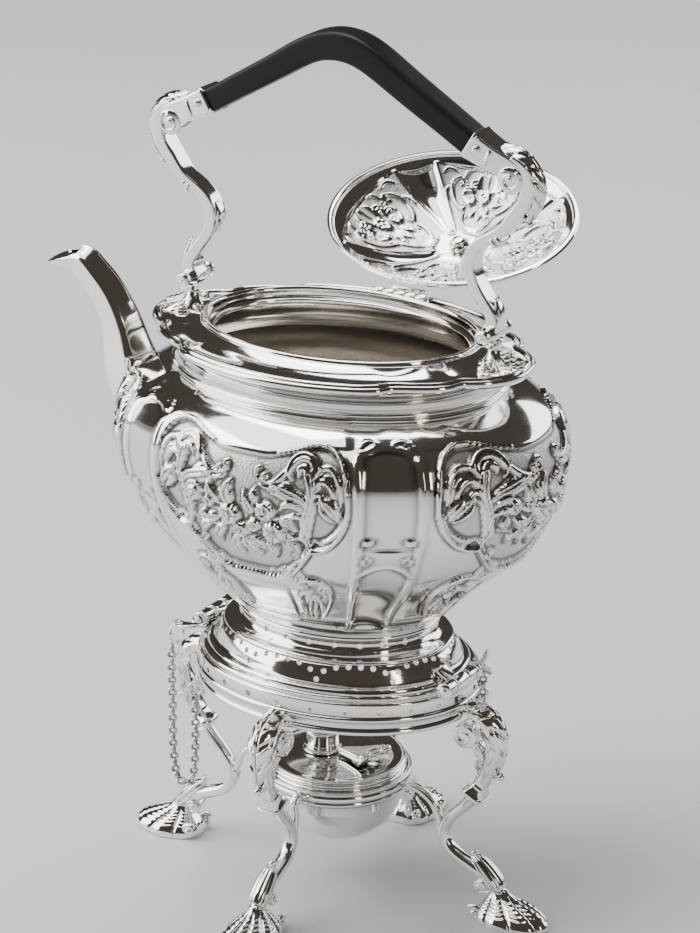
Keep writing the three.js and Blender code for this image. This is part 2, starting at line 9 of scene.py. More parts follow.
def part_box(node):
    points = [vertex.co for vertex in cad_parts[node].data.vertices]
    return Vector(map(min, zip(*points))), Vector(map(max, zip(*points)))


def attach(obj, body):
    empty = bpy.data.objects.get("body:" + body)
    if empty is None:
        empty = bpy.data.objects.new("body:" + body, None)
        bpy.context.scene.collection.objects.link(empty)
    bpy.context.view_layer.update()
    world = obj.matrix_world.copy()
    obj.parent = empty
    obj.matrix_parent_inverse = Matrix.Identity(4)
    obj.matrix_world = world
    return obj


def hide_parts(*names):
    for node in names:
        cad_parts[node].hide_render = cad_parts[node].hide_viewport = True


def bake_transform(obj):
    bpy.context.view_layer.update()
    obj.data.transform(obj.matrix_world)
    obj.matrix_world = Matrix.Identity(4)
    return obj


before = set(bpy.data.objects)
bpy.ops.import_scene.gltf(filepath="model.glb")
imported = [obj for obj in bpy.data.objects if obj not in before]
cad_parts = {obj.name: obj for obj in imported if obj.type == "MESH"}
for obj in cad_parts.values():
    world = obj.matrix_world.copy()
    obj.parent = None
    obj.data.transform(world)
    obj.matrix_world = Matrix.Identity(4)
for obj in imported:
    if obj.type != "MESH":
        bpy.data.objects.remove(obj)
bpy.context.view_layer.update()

MM = 0.001
TAU = 2 * math.pi
OVAL = 0.79  # width of the oval sections over their length
low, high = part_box("stand_ring")
# Everything below is in millimetres from the stand's own axis, on the table.
AXIS = np.array([(low[0] + high[0]) / 2, (low[1] + high[1]) / 2, 0.0])


def centre_of(node):
    """The middle of a CAD node's box, in millimetres from the stand's axis."""
    a, b = (np.array(corner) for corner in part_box(node))
    return ((a + b) / 2 - AXIS) / MM


# ---------------------------------------------------------------- materials
def principled(name):
    """A new material, its node tree and its shader."""
    material = bpy.data.materials.new(name)
    material.use_nodes = True
    tree = material.node_tree
    return material, tree, tree.nodes["Principled BSDF"]


def node(tree, kind, inputs=None, **settings):
    """A shader node; an input is a value, or another node's output to link."""
    made = tree.nodes.new(kind)
    for key, value in settings.items():
        setattr(made, key, value)
    for key, value in (inputs or {}).items():
        if isinstance(value, bpy.types.NodeSocket):
            tree.links.new(value, made.inputs[key])
        else:
            made.inputs[key].default_value = value
    return made


def math_node(tree, operation, *values, clamp=False):
    inputs = dict(enumerate(values))
    return node(tree, "ShaderNodeMath", inputs, operation=operation, use_clamp=clamp).outputs[0]


def silver_material(name, rough=0.07, tint=(0.93, 0.915, 0.885, 1), dark=(0.16, 0.135, 0.11, 1)):
    """Polished silver: painted shade and tarnish darken its recesses; frosted on matted grounds, faintly
    hand-rubbed.
    """
    material, tree, shader = principled(name)
    place = node(tree, "ShaderNodeTexCoord").outputs["Object"]
    tarnish_and_shade = node(tree, "ShaderNodeAttribute", attribute_name="tarnish_and_shade").outputs["Fac"]
    matting = node(tree, "ShaderNodeAttribute", attribute_name="matting").outputs["Fac"]
    clouds = node(tree, "ShaderNodeTexNoise", {"Vector": place, "Scale": 38.0, "Detail": 4.0}).outputs["Fac"]
    smears = node(tree, "ShaderNodeTexNoise", {"Vector": place, "Scale": 220.0, "Detail": 3.0}).outputs["Fac"]
    stipple = node(tree, "ShaderNodeTexVoronoi", {"Vector": place, "Scale": 1500.0}).outputs["Distance"]
    patchy = math_node(tree, "MULTIPLY_ADD", clouds, 0.8, 0.5)
    # painted shade and tarnish: the hollows' colour is mixed towards the dark tint
    tarnish_and_shade_amount = math_node(tree, "MULTIPLY", tarnish_and_shade, patchy, clamp=True)
    handled = tuple(0.965 * c for c in tint[:3]) + (1,)
    bright = node(tree, "ShaderNodeMix", {0: clouds, 6: tint, 7: handled}, data_type="RGBA").outputs[2]
    color = node(tree, "ShaderNodeMix", {0: tarnish_and_shade_amount, 6: bright, 7: dark}, data_type="RGBA").outputs[2]
    tree.links.new(color, shader.inputs["Base Color"])
    polished = math_node(tree, "MULTIPLY_ADD", smears, 0.09, rough - 0.03)
    frosted = math_node(tree, "MULTIPLY_ADD", matting, 0.26, polished)
    uneven = math_node(tree, "MULTIPLY_ADD", tarnish_and_shade, 0.06, frosted)
    tree.links.new(uneven, shader.inputs["Roughness"])
    grain = math_node(tree, "MULTIPLY", stipple, matting)
    height = math_node(tree, "MULTIPLY_ADD", clouds, 0.05, grain)
    bump = node(tree, "ShaderNodeBump", {"Height": height, "Strength": 0.35, "Distance": 0.0005})
    tree.links.new(bump.outputs["Normal"], shader.inputs["Normal"])
    shader.inputs["Metallic"].default_value = 1.0
    return material


def two_tone(tree, shader, fac, dark, light):
    """Colours the shader from dark to light with a 0 to 1 value."""
    ramp = node(tree, "ShaderNodeValToRGB", {"Fac": fac})
    ramp.color_ramp.elements[0].color = (*dark, 1)
    ramp.color_ramp.elements[1].color = (*light, 1)
    tree.links.new(ramp.outputs["Color"], shader.inputs["Base Color"])


def grip_material():
    """Dyed hardwood: near black, satin, with a fine grain."""
    material, tree, shader = principled("grip_black")
    place = node(tree, "ShaderNodeTexCoord").outputs["Object"]
    grain = node(tree, "ShaderNodeTexNoise", {"Vector": place, "Scale": 900.0, "Detail": 6.0}).outputs["Fac"]
    clouds = node(tree, "ShaderNodeTexNoise", {"Vector": place, "Scale": 45.0, "Detail": 3.0}).outputs["Fac"]
    two_tone(tree, shader, clouds, (0.0042, 0.0045, 0.0052), (0.0105, 0.011, 0.0125))
    tree.links.new(math_node(tree, "MULTIPLY_ADD", grain, 0.2, 0.26), shader.inputs["Roughness"])
    shader.inputs["Specular IOR Level"].default_value = 0.2
    bump = node(tree, "ShaderNodeBump", {"Height": grain, "Strength": 0.12, "Distance": 0.0003})
    tree.links.new(bump.outputs["Normal"], shader.inputs["Normal"])
    return material


def wick_material():
    """Pale braided cotton."""
    material, tree, shader = principled("wick_cotton")
    place = node(tree, "ShaderNodeTexCoord").outputs["Object"]
    strands = {"Vector": place, "Scale": 260.0, "Distortion": 3.0, "Detail": 2.0}
    weave = node(tree, "ShaderNodeTexWave", strands, bands_direction="DIAGONAL").outputs["Fac"]
    two_tone(tree, shader, weave, (0.30, 0.26, 0.19), (0.72, 0.66, 0.54))
    bump = node(tree, "ShaderNodeBump", {"Height": weave, "Strength": 0.6, "Distance": 0.0006})
    tree.links.new(bump.outputs["Normal"], shader.inputs["Normal"])
    shader.inputs["Roughness"].default_value = 0.95
    return material


SILVER = silver_material("silver_polished")
# the chased pieces' hollows get a darker tint, for deeper painted shade and tarnish beside the chasing
CHASED = silver_material("silver_chased", dark=(0.10, 0.083, 0.066, 1))
INSIDE = silver_material("silver_inside", rough=0.2, tint=(0.80, 0.76, 0.70, 1))
GRIP = grip_material()
WICK = wick_material()


# ---------------------------------------------------------------- curves
def spline(points, count, closed=False):
    """A smooth curve through the points, in even steps along its length in its first columns."""
    p = np.asarray(points, float)
    if closed:
        p = np.vstack([p[-3:], p, p[:4]])
    place = np.linalg.norm(np.diff(p[:, :2], axis=0), axis=1) ** 0.6
    x = np.r_[0, np.cumsum(place + 1e-9)]
    n = len(x)
    if n == 2:
        return p[0] + np.linspace(0, 1, count)[:, None] * (p[1] - p[0])
    step = np.diff(x)
    system = np.eye(n)
    right = np.zeros_like(p)
    for k in range(1, n - 1):
        system[k, k - 1:k + 2] = step[k - 1], 2 * (step[k - 1] + step[k]), step[k]
        right[k] = 6 * ((p[k + 1] - p[k]) / step[k] - (p[k] - p[k - 1]) / step[k - 1])
    bend = np.linalg.solve(system, right)
    first, last = (x[3], x[-4]) if closed else (x[0], x[-1])
    at = np.linspace(first, last, max(40 * n, 4 * count))
    k = np.clip(np.searchsorted(x, at, side="right") - 1, 0, n - 2)
    a, b, h = (at - x[k])[:, None], (x[k + 1] - at)[:, None], step[k][:, None]
    curve = (bend[k] * b ** 3 + bend[k + 1] * a ** 3) / (6 * h)
    curve += (p[k] / h - bend[k] * h / 6) * b + (p[k + 1] / h - bend[k + 1] * h / 6) * a
    run = run_of(curve[:, :2])
    return even(curve, run, count + 1)[:-1] if closed else even(curve, run, count)


def run_of(points):
    """How far along the line through the points each one lies."""
    return np.r_[0, np.cumsum(np.linalg.norm(np.diff(points, axis=0), axis=1) + 1e-12)]


def even(curve, run, count):
    """The curve at even steps of its run."""
    at = np.linspace(0, run[-1], count)
    return np.stack([np.interp(at, run, column) for column in curve.T], 1)


def unit(vectors):
    """The vectors at a length of 1."""
    v = np.asarray(vectors, float)
    return v / (np.linalg.norm(v, axis=-1, keepdims=True) + 1e-12)


def filleted(points, radius=0.5, steps=4):
    """A profile of straight runs with small rounded corners, the same number of points at each."""
    p = np.asarray(points, float)
    out = [p[0]]
    for before, corner, after in zip(p[:-2], p[1:-1], p[2:]):
        to, on = before - corner, after - corner
        to_length, on_length = np.linalg.norm(to[:2]), np.linalg.norm(on[:2])
        reach = min(radius, 0.45 * to_length, 0.45 * on_length)
        start = corner + to / (to_length + 1e-9) * reach
        end = corner + on / (on_length + 1e-9) * reach
        for s in np.linspace(0, 1, steps):
            out.append((1 - s) ** 2 * start + 2 * s * (1 - s) * corner + s ** 2 * end)
    out.append(p[-1])
    return np.array(out)


def closed_outline(points, radius, steps):
    """A closed profile with small rounded corners."""
    return filleted([*points, points[0]], radius, steps)[:-1]


def spline3(points, count):
    """A smooth 3-D curve, even along its length."""
    p = np.asarray(points, float)
    run = run_of(p)
    fine = spline(np.column_stack([run, np.zeros(len(run)), p]), 200)[:, 2:]
    return even(fine, run_of(fine), count)


def flat(points, y=0.0):
    """x, z rows as 3-D points in a plane of constant y."""
    p = np.asarray(points, float)
    return np.stack([p[:, 0], np.full(len(p), y), p[:, 1]], 1)


def smoothstep(x):
    """0 below 0, 1 above 1, and a smooth rise between."""
    x = np.clip(x, 0, 1)
    return x * x * (3 - 2 * x)


# ---------------------------------------------------------------- meshes
def grid_faces(rows, columns, wrap_rows=False):
    """The quads between rings of points, each ring closed on itself."""
    i = np.arange(rows if wrap_rows else rows - 1)
    j = np.arange(columns)
    row, column = np.meshgrid(i, j, indexing="ij")
    up, on = (row + 1) % rows, (column + 1) % columns
    quads = [row * columns + column, row * columns + on, up * columns + on, up * columns + column]
    return np.stack(quads, -1).reshape(-1, 4)


def make_piece(name, body, verts, faces, material=None, replaces=(), slot="silver", marks=None, sharp=None,
               ride=True):
    """One mesh piece from millimetre vertices; marks are shading values for each vertex."""
    verts = np.asarray(verts, float) * MM + AXIS
    mesh = bpy.data.meshes.new(name)
    mesh.from_pydata(verts.tolist(), [], [list(map(int, f)) for f in faces])
    mesh.update()
    mesh.polygons.foreach_set("use_smooth", np.ones(len(mesh.polygons), bool))
    piece = bpy.data.objects.new(name, mesh)
    bpy.context.scene.collection.objects.link(piece)
    mesh.materials.append(material or SILVER)
    face_out(mesh)
    # unless given, the hollows get painted shade and tarnish
    for mark, values in (marks or {"tarnish_and_shade": hollows(mesh)}).items():
        layer = mesh.attributes.new(mark, "FLOAT", "POINT")
        layer.data.foreach_set("value", np.asarray(values, np.float32).ravel())
    if sharp:
        mesh.set_sharp_from_angle(angle=math.radians(sharp))
    if ride:
        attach(piece, body)
    if replaces:
        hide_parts(*replaces)
    return piece


def read(items, field, width, kind=float):
    """One field of mesh items, such as vertices, as an array with a row for each."""
    values = np.empty(len(items) * width, kind)
    items.foreach_get(field, values)
    return values.reshape(-1, width)


def face_out(mesh):
    """Turns the faces round if they point into the piece."""
    mesh.calc_loop_triangles()
    points = read(mesh.vertices, "co", 3)
    a, b, c = (points - points.mean(0))[read(mesh.loop_triangles, "vertices", 3, int).T]
    if (a * np.cross(b, c)).sum() < 0:
        mesh.flip_normals()


def hollows(mesh):
    """How hollow the surface is at each vertex, 0 to 1, for painted shade and tarnish: full in a groove of
    about a millimetre's radius.
    """
    points = read(mesh.vertices, "co", 3) / MM
    normals = read(mesh.vertex_normals, "vector", 3)
    a, b = read(mesh.edges, "vertices", 2, int).T
    count = len(points)

    def summed(at_a, at_b):
        return np.bincount(a, at_a, count) + np.bincount(b, at_b, count)
    span = points[b] - points[a]
    reach = (np.linalg.norm(span, axis=1) + 1e-6) ** 2
    degree = np.maximum(summed(None, None), 1)
    bend = summed((span * normals[a]).sum(1) / reach, -(span * normals[b]).sum(1) / reach) / degree
    for _ in range(2):
        bend = (bend + summed(bend[b], bend[a]) / degree) / 2
    slight, gain = 0.04, 4.0  # bends too slight to get painted shade and tarnish, and how fast they deepen
    return np.clip((bend - slight) * gain, 0, 1)


def closed_rings(rings, loop=False):
    """Vertices and faces of a surface through rings (k, n, 3); its ends are capped unless it is a loop."""
    count, n = rings.shape[:2]
    verts = rings.reshape(-1, 3)
    faces = [tuple(f) for f in grid_faces(count, n, loop)]
    if not loop:
        for row in (0, count - 1):
            centre = len(verts)
            verts = np.vstack([verts, rings[row].mean(0)])
            ring = row * n + np.arange(n)
            pairs = zip(ring, np.roll(ring, -1)) if row else zip(np.roll(ring, -1), ring)
            faces += [(centre, a, b) for a, b in pairs]
    return verts, faces


def loft(name, body, rings, loop=False, marks=None, **options):
    """One piece out of one surface through rings; marks has a value for each point of the rings."""
    verts, faces = closed_rings(rings, loop)
    if marks:
        caps = np.zeros(len(verts) - rings[..., 0].size)
        marks = {mark: np.r_[values.ravel(), caps] for mark, values in marks.items()}
    return make_piece(name, body, verts, faces, marks=marks, **options)


def faced_out(verts, faces):
    """The faces of one closed part, turned round if they point into it."""
    v = np.asarray(verts) - np.mean(verts, 0)
    volume = 0.0
    for size in (3, 4):
        f = np.array([face for face in faces if len(face) == size], int).reshape(-1, size)
        for k in range(1, size - 1):
            volume += (v[f[:, 0]] * np.cross(v[f[:, k]], v[f[:, k + 1]])).sum()
    return faces if volume > 0 else [tuple(face)[::-1] for face in faces]


def gathered(parts):
    """The vertices and faces of several closed (vertices, faces) parts, all facing out."""
    verts, faces, base = [], [], 0
    for v, f in parts:
        verts.append(v)
        faces += [tuple(int(i) + base for i in face) for face in faced_out(v, f)]
        base += len(v)
    return np.vstack(verts), faces


def merged(name, body, parts, **options):
    """One piece out of several closed parts."""
    return make_piece(name, body, *gathered(parts), **options)


def cut_away(piece, parts, sharp, shade=0.0):
    """Takes closed parts out of a piece; the cut faces are painted with the given amount of shade."""
    verts, faces = gathered(parts)
    mesh = bpy.data.meshes.new("tool")
    mesh.from_pydata((verts * MM + AXIS).tolist(), [], faces)
    layer = mesh.attributes.new("tarnish_and_shade", "FLOAT", "POINT")
    layer.data.foreach_set("value", np.full(len(verts), shade, np.float32))
    tool = bpy.data.objects.new("tool", mesh)
    bpy.context.scene.collection.objects.link(tool)
    modifier = piece.modifiers.new("cut", "BOOLEAN")
    modifier.operation = "DIFFERENCE"
    modifier.solver = "MANIFOLD"
    modifier.object = tool
    bpy.context.view_layer.update()
    whole = piece.data
    piece.data = bpy.data.meshes.new_from_object(piece.evaluated_get(bpy.context.evaluated_depsgraph_get()))
    piece.modifiers.clear()
    bpy.data.meshes.remove(whole)
    bpy.data.objects.remove(tool)
    piece.data.polygons.foreach_set("use_smooth", np.ones(len(piece.data.polygons), bool))
    piece.data.set_sharp_from_angle(angle=math.radians(sharp))


def around(n):
    """Angles of n even steps round a circle."""
    return np.arange(n) / n * TAU


def surface(x, y, z):
    """Points (rows, columns, 3) from coordinates that are broadcast together."""
    return np.stack(np.broadcast_arrays(x, y, z), -1)


def oval_rings(profile, n=0, oval=OVAL, angles=None):
    """Rings of an oval piece; the profile has rows of half length, height and (optional) half width."""
    p = np.asarray(profile, float)
    half_width = p[:, 2] if p.shape[1] > 2 else p[:, 0] * oval
    t = around(n) if angles is None else angles
    return surface(p[:, :1] * np.cos(t), half_width[:, None] * np.sin(t), p[:, 1:2])


def turned(profile, n=64, centre=(0, 0)):
    """Rings of a piece turned about an upright axis."""
    return oval_rings(profile, n, 1.0) + [*centre, 0.0]


def turned_y(profile, x, z, sides):
    """A closed part turned about an axis along Y; the profile has y and radius."""
    q = around(sides)
    y, radius = np.array(profile, float).T[..., None]
    return closed_rings(surface(x + radius * np.cos(q), y, z + radius * np.sin(q)))


def bar_rings(stations, steps=80, sides=20, square=0.3, relief=None, plane_y=0.0, straight=False):
    """Rings of a bar in the XZ plane; stations have x, z, half thickness and half width."""
    path = filleted(stations, 0.3, 4) if straight else spline(stations, steps)
    along = unit(np.gradient(path[:, :2], axis=0))
    q = around(sides) + math.pi / sides
    c, w = np.cos(q), np.sin(q)
    power = 1 - square
    thick = np.sign(c) * np.abs(c) ** power
    wide = np.sign(w) * np.abs(w) ** power
    swell = 1.0 if relief is None else 1.0 + relief(np.linspace(0, 1, len(path))[:, None], q[None, :])
    high = thick * path[:, 2:3] * swell
    return surface(path[:, :1] - along[:, 1:] * high, wide * path[:, 3:4] * swell + plane_y,
                   path[:, 1:2] + along[:, :1] * high)


def bar(*stations, **options):
    """A closed bar, with the arguments of bar_rings."""
    return closed_rings(bar_rings(*stations, **options))


def tube_along(path, radius, sides, closed=False):
    """Rings of a round wire along a 3-D path; radius may change along it."""
    p = np.asarray(path, float)
    radius = np.broadcast_to(np.asarray(radius, float), (len(p),))[:, None, None]
    t = unit(np.roll(p, -1, 0) - np.roll(p, 1, 0) if closed else np.gradient(p, axis=0))
    turning = np.cross(p - p.mean(0), t).sum(0)
    up = unit(turning) if np.linalg.norm(turning) > 1e-6 else np.array([0, 0, 1.0])
    side = unit(np.cross(t, up))
    lift = np.cross(side, t)
    q = around(sides)[None, :, None]
    return p[:, None] + radius * (np.cos(q) * side[:, None] + np.sin(q) * lift[:, None])


def wire(path, radius, sides, closed=False):
    """A closed part: a round wire along a 3-D path, or round a closed one."""
    return closed_rings(tube_along(path, radius, sides, closed), loop=closed)


def rod(start, end, radius, sides=24, round_end=0.25):
    """A straight rod between two points, with softened ends."""
    start, end = np.asarray(start, float), np.asarray(end, float)
    length = np.linalg.norm(end - start)
    axis = (end - start) / length
    helper = np.array([0, 0, 1.0]) if abs(axis[2]) < 0.9 else np.array([1.0, 0, 0])
    u = unit(np.cross(axis, helper))
    v = np.cross(axis, u)
    soft = min(round_end, radius * 0.5, length * 0.3)
    profile = [(0, radius - soft), (soft * 0.3, radius - soft * 0.3), (soft, radius)]
    profile += [(length - a, r) for a, r in profile[::-1]]
    return sweep_profile(start, axis, u, v, profile, sides)


def sweep_profile(origin, axis, u, v, profile, sides):
    """A solid turned about any axis: the profile has distance along the axis and radius."""
    q = around(sides)[None, :, None]
    rings = [origin + axis * a + r * (np.cos(q[0]) * u + np.sin(q[0]) * v) for a, r in profile]
    return closed_rings(np.array(rings))


def normals_of(rings):
    """Unit normals of a surface of rings round the upright axis, facing away from it."""
    across = np.roll(rings, -1, 1) - np.roll(rings, 1, 1)
    normals = unit(np.cross(across, np.gradient(rings, axis=0)))
    return normals * np.sign((normals * rings)[..., :2].sum())


# ---------------------------------------------------------------- relief
class Relief:
    """Raised ornament drawn with strokes over a surface unrolled to u, v in millimetres."""

    def __init__(self, u, v):
        self.u, self.v = u, v
        self.h = np.zeros(u.shape)

    def pick(self, lo, hi):
        """The points of the surface in a box, and their u and v."""
        inside = (self.u > lo[0]) & (self.u < hi[0]) & (self.v > lo[1]) & (self.v < hi[1])
        index = np.nonzero(inside)
        return index, np.stack([self.u[index], self.v[index]], -1)

    def lay(self, index, bump):
        """Adds a bump; where it crosses another, the higher one shows."""
        self.h[index] = np.maximum(self.h[index], bump)

    def stroke(self, points, width, height, kind="line", vein=0.0):
        """A rounded ridge along a curve; its kind says how it swells, and a vein runs down its middle."""
        path = spline(points, max(10, 6 * len(points)))[:, :2]
        index, q = self.pick(path.min(0) - width * 1.2, path.max(0) + width * 1.2)
        if not len(q):
            return
        a, ab = path[:-1], np.diff(path, axis=0)
        t = ((q[:, None] - a) * ab).sum(-1) / (ab ** 2).sum(-1)
        t = np.clip(t, 0, 1)
        d = np.linalg.norm(q[:, None] - a - t[..., None] * ab, axis=-1)
        j = d.argmin(1)
        row = np.arange(len(q))
        s = (j + t[row, j]) / len(ab)
        shape = {
            "line": np.ones_like(s),
            "taper": 1 - 0.75 * s,
            "grow": 0.3 + 0.7 * s,
            "leaf": np.sin(math.pi * np.clip(0.06 + 0.9 * s, 0, 1)) ** 0.75,
        }[kind]
        x = d[row, j] / (width * shape + 1e-9)
        bump = height * (0.45 + 0.55 * shape) * np.sqrt(np.clip(1 - x * x, 0, 1))
        bump *= 1 - vein * np.exp(-((x / 0.3) ** 2))
        self.lay(index, bump)

    def curl(self, centre, radius, start, hand, width, height, turns=1.35, seed=True):
        """A spiral scroll that winds in to a round seed."""
        s = np.linspace(0, 1, 26)
        angle = start + hand * TAU * turns * s
        r = radius * (1 - 0.86 * s ** 0.8)
        pts = np.stack([centre[0] + r * np.cos(angle), centre[1] + r * np.sin(angle)], 1)
        self.stroke(pts, width, height, "taper")
        if seed:
            self.dot(centre, radius * 0.3, height * 1.1)

    def dot(self, centre, radius, height):
        """A small dome."""
        centre = np.asarray(centre, float)
        index, q = self.pick(centre - radius, centre + radius)
        d = np.linalg.norm(q - centre, axis=1) / radius
        self.lay(index, height * np.sqrt(np.clip(1 - d * d, 0, 1)))

    def flower(self, centre, radius, height, petals=5, turn=0.3):
        """Rounded petals about a raised eye."""
        centre = np.asarray(centre, float)
        index, q = self.pick(centre - radius, centre + radius)
        d = q - centre
        rho = np.linalg.norm(d, axis=1) / radius
        angle = np.arctan2(d[:, 1], d[:, 0]) + turn
        edge = 0.8 + 0.2 * np.abs(np.cos(petals * angle / 2)) ** 0.5
        x = rho / edge
        petal = np.sqrt(np.clip(1 - x ** 4, 0, 1)) * (0.45 + 0.55 * np.clip(rho * 1.6, 0, 1))
        petal *= 1 - 0.35 * np.exp(-((np.sin(petals * angle / 2) / 0.25) ** 2))
        self.lay(index, height * petal)
        self.dot(centre, radius * 0.26, height * 1.05)


def hollow_marks(h, reference):
    """Values for painted shade and tarnish: high beside raised ornament, where shade falls and a polishing
    cloth can't reach.
    """
    spread = h.copy()
    for _ in range(3):
        spread = (spread + np.roll(spread, 1, 0) + np.roll(spread, -1, 0) + np.roll(spread, 1, 1)
                  + np.roll(spread, -1, 1)) / 5
    return np.clip((spread - h) / reference, 0, 1)


# ---------------------------------------------------------------- kettle body
BODY_PROFILE = [(42, 119.4), (46, 123.2), (51.5, 127.4), (61, 137), (76.5, 152.4), (84, 164.4), (88.5, 174.5),
                (90.6, 184), (90.6, 192), (88, 200.4), (84.6, 205), (79, 209.4), (72.5, 212.8), (66, 215.3)]
Y_PANEL, X_PANEL, NARROW = math.radians(29.5), math.radians(44), math.radians(8.25)
CANVAS_Y, CANVAS_X = 45.0, 54.0  # half widths of the wide panels where the body is fullest
CANVAS_NARROW = 12.4  # and of the narrow ones
FAR = 1e6  # a place that no stroke reaches


def body_angles():
    """Angles round the body, closer together on the chased panels than on the plain ones."""
    edge = X_PANEL + NARROW
    panels = [(0, X_PANEL, 190), (edge, NARROW, 18), (TAU / 4, Y_PANEL, 140), (TAU / 2 - edge, NARROW, 18)]
    half_turn = np.concatenate([middle - half + 2 * half * np.arange(count) / count
                                for middle, half, count in panels])
    return np.concatenate([half_turn, half_turn + TAU / 2])


def panel_place(t):
    """For angles: distance from the nearest wide panel's middle over its half width, and which kind it is."""
    turn = (t + TAU / 4) % (TAU / 2) - TAU / 4  # from the nearest end of the long axis
    on_x = np.abs(turn) < X_PANEL + NARROW
    side = (t % (TAU / 2)) - TAU / 4
    q = np.where(on_x, turn / X_PANEL, side / Y_PANEL)
    narrow = np.where(on_x, (np.abs(turn) - X_PANEL) / NARROW - 1, (np.abs(side) - Y_PANEL) / NARROW - 1)
    return q, on_x, narrow


def chase_wide(r, edge):
    """The mirrored part of a wide panel's design: u runs 0 to edge from the middle, v up from the foot."""
    k = edge / CANVAS_Y

    def draw(points, width, height, kind="leaf", vein=0.0):
        r.stroke([(u * k if u > 12 else u, v) for u, v in points], width, height, kind, vein)
    # the C-scroll frame, its inner scroll and the ball it ends in
    draw([(14, 104.4), (20, 106.4), (27, 109.2), (33.4, 109.6), (38.6, 104.4), (40.6, 94.8), (41.2, 85.4),
          (39.5, 77.4), (36, 71.2), (31.4, 67.2), (27.6, 66.6)], 1.35, 1.7, "grow")
    draw([(39.6, 83), (39, 77.6), (35.6, 72.6), (31.4, 70.4), (28.4, 71.2)], 1.9, 1.7, "leaf", 0.3)
    r.curl((27.4 * k, 69.4), 2.6, -1.6, -1, 0.9, 1.6, turns=0.9)
    # the great acanthus plume that curls over at the top, on a swelling of its own
    draw([(25.8, 70), (25.4, 78), (27, 87), (28.4, 94)], 3.0, 1.1, "leaf")
    draw([(27.6, 90), (29.6, 98), (26, 102.6), (21.6, 99.4)], 3.0, 1.2, "leaf")
    draw([(28, 90), (33, 97), (37, 93), (37.6, 87)], 2.1, 1.0, "leaf")
    draw([(26.4, 83), (21.6, 87), (16, 88.6), (12, 89)], 2.2, 1.0, "leaf")
    draw([(25.8, 72.6), (25.4, 80), (27, 87), (27.6, 93), (26.6, 98)], 2.3, 2.4, "grow", 0.4)
    draw([(27.4, 95), (29.4, 100), (27.8, 103.6), (24, 104.4), (20.8, 102), (19.2, 98), (20.2, 95)], 2.5, 2.8,
         "leaf", 0.3)
    draw([(27, 96.4), (25.6, 100.2), (23.4, 99.8), (22.6, 96.8)], 1.6, 2.4, "leaf", 0.3)
    draw([(27.6, 94.4), (30.4, 99.8), (34.4, 101), (37.4, 97.6), (38.8, 92), (38.6, 86.6)], 1.35, 1.9, "leaf",
         0.35)
    draw([(27.6, 90.6), (30.4, 95.4), (33.4, 95.2), (35.6, 91.8), (36.2, 87.4)], 1.35, 1.9, "leaf", 0.35)
    draw([(27.2, 86.6), (29.4, 90.6), (31.6, 90.4), (32.8, 88)], 1.1, 1.7, "leaf", 0.3)
    draw([(26.6, 84.4), (23.4, 88.8), (18.8, 90.4), (14.4, 91.6), (11, 89.6)], 2.1, 2.2, "leaf", 0.4)
    draw([(25.6, 82.6), (21.4, 85.6), (17.8, 85), (15.6, 82.6)], 1.7, 1.9, "leaf", 0.4)
    draw([(25.4, 79), (22.8, 81.2), (20.4, 80.6), (19, 78.6)], 1.3, 1.7, "leaf", 0.35)
    draw([(21.6, 89.4), (19, 93), (15.8, 94)], 1.2, 1.6, "leaf", 0.3)
    draw([(25.6, 78), (24, 74), (24.6, 70.6), (26.2, 69)], 1.3, 1.6, "leaf", 0.3)
    # the ribbed bud on its stalk
    draw([(27, 83.4), (29, 86.8), (31, 88.4)], 0.6, 1.0, "line")
    draw([(30.8, 89), (34.2, 86.8), (38, 80.8)], 2.2, 2.5, "leaf", 0.35)
    draw([(30.6, 87.6), (32.4, 83.6), (36.8, 79.8)], 1.35, 2.0, "leaf", 0.2)
    draw([(31.4, 89.8), (36, 88), (38.8, 82.6)], 1.1, 1.9, "leaf", 0.2)
    # hooked scrolls beside the middle
    r.curl((9.2, 95.4), 3.3, 2.4, 1, 1.25, 2.1, turns=1.0)
    draw([(9.6, 92.4), (13.6, 93.6), (17.4, 97.6), (19.4, 101.2)], 1.5, 1.8, "leaf", 0.3)
    draw([(6.6, 92.6), (10, 91), (13, 91.8)], 0.9, 1.3, "leaf")
    # the scalloped swag under the matted ground, and the ribbed shells that hang from it
    draw([(27.2, 66.6), (24.6, 61.6), (21.4, 56.4), (17, 51.8), (11, 49.4), (5, 48.8), (0, 48.8)], 1.0, 1.6,
         "line")
    draw([(25.2, 66.4), (22.6, 61.8), (19.4, 57.4), (15.6, 54), (10.4, 52.2), (5, 51.7), (0, 51.7)], 0.5, 1.1,
         "line")
    for i in range(8):
        s = 0.06 + i / 8.2
        r.dot((15 * s, 50.2 + 1.6 * s ** 3), 0.62, 1.2)
    r.curl((21.4 * k, 62.4), 2.7, 0.2, -1, 0.95, 1.6)
    for i in range(7):
        a = math.radians(198 + 15 * i)
        r.stroke([(21 * k + 1.6 * math.cos(a), 56.2 + 1.6 * math.sin(a)),
                  (21 * k + 7.4 * math.cos(a), 56.2 + 7.4 * math.sin(a))], 1.05, 1.5, "grow", vein=0.15)
    # pillared scrolls and a niche over the foot, in the panel's lower corner
    draw([(20, 47), (26, 50.4), (32, 47.6), (34.6, 40.6), (33.4, 30), (29.6, 20)], 1.1, 1.4, "line")
    r.curl((31.4 * k, 43.6), 3.1, 0.8, 1, 0.9, 1.4)
    r.curl((21.6 * k, 43), 2.6, 2.2, -1, 0.8, 1.3)
    draw([(19, 18), (18.4, 29), (20.4, 38.4), (25.4, 41.6)], 1.1, 1.3, "line")
    r.curl((26 * k, 35.4), 2.5, 0, 1, 0.8, 1.3, turns=0.9)
    draw([(22.4, 18), (22.6, 26), (23.6, 32)], 1.2, 1.2, "leaf", 0.3)
    draw([(29, 20), (29.4, 27), (28.4, 32)], 1.2, 1.2, "leaf", 0.3)
    draw([(25.8, 29), (25.4, 23), (25.6, 17)], 1.5, 1.2, "leaf", 0.4)


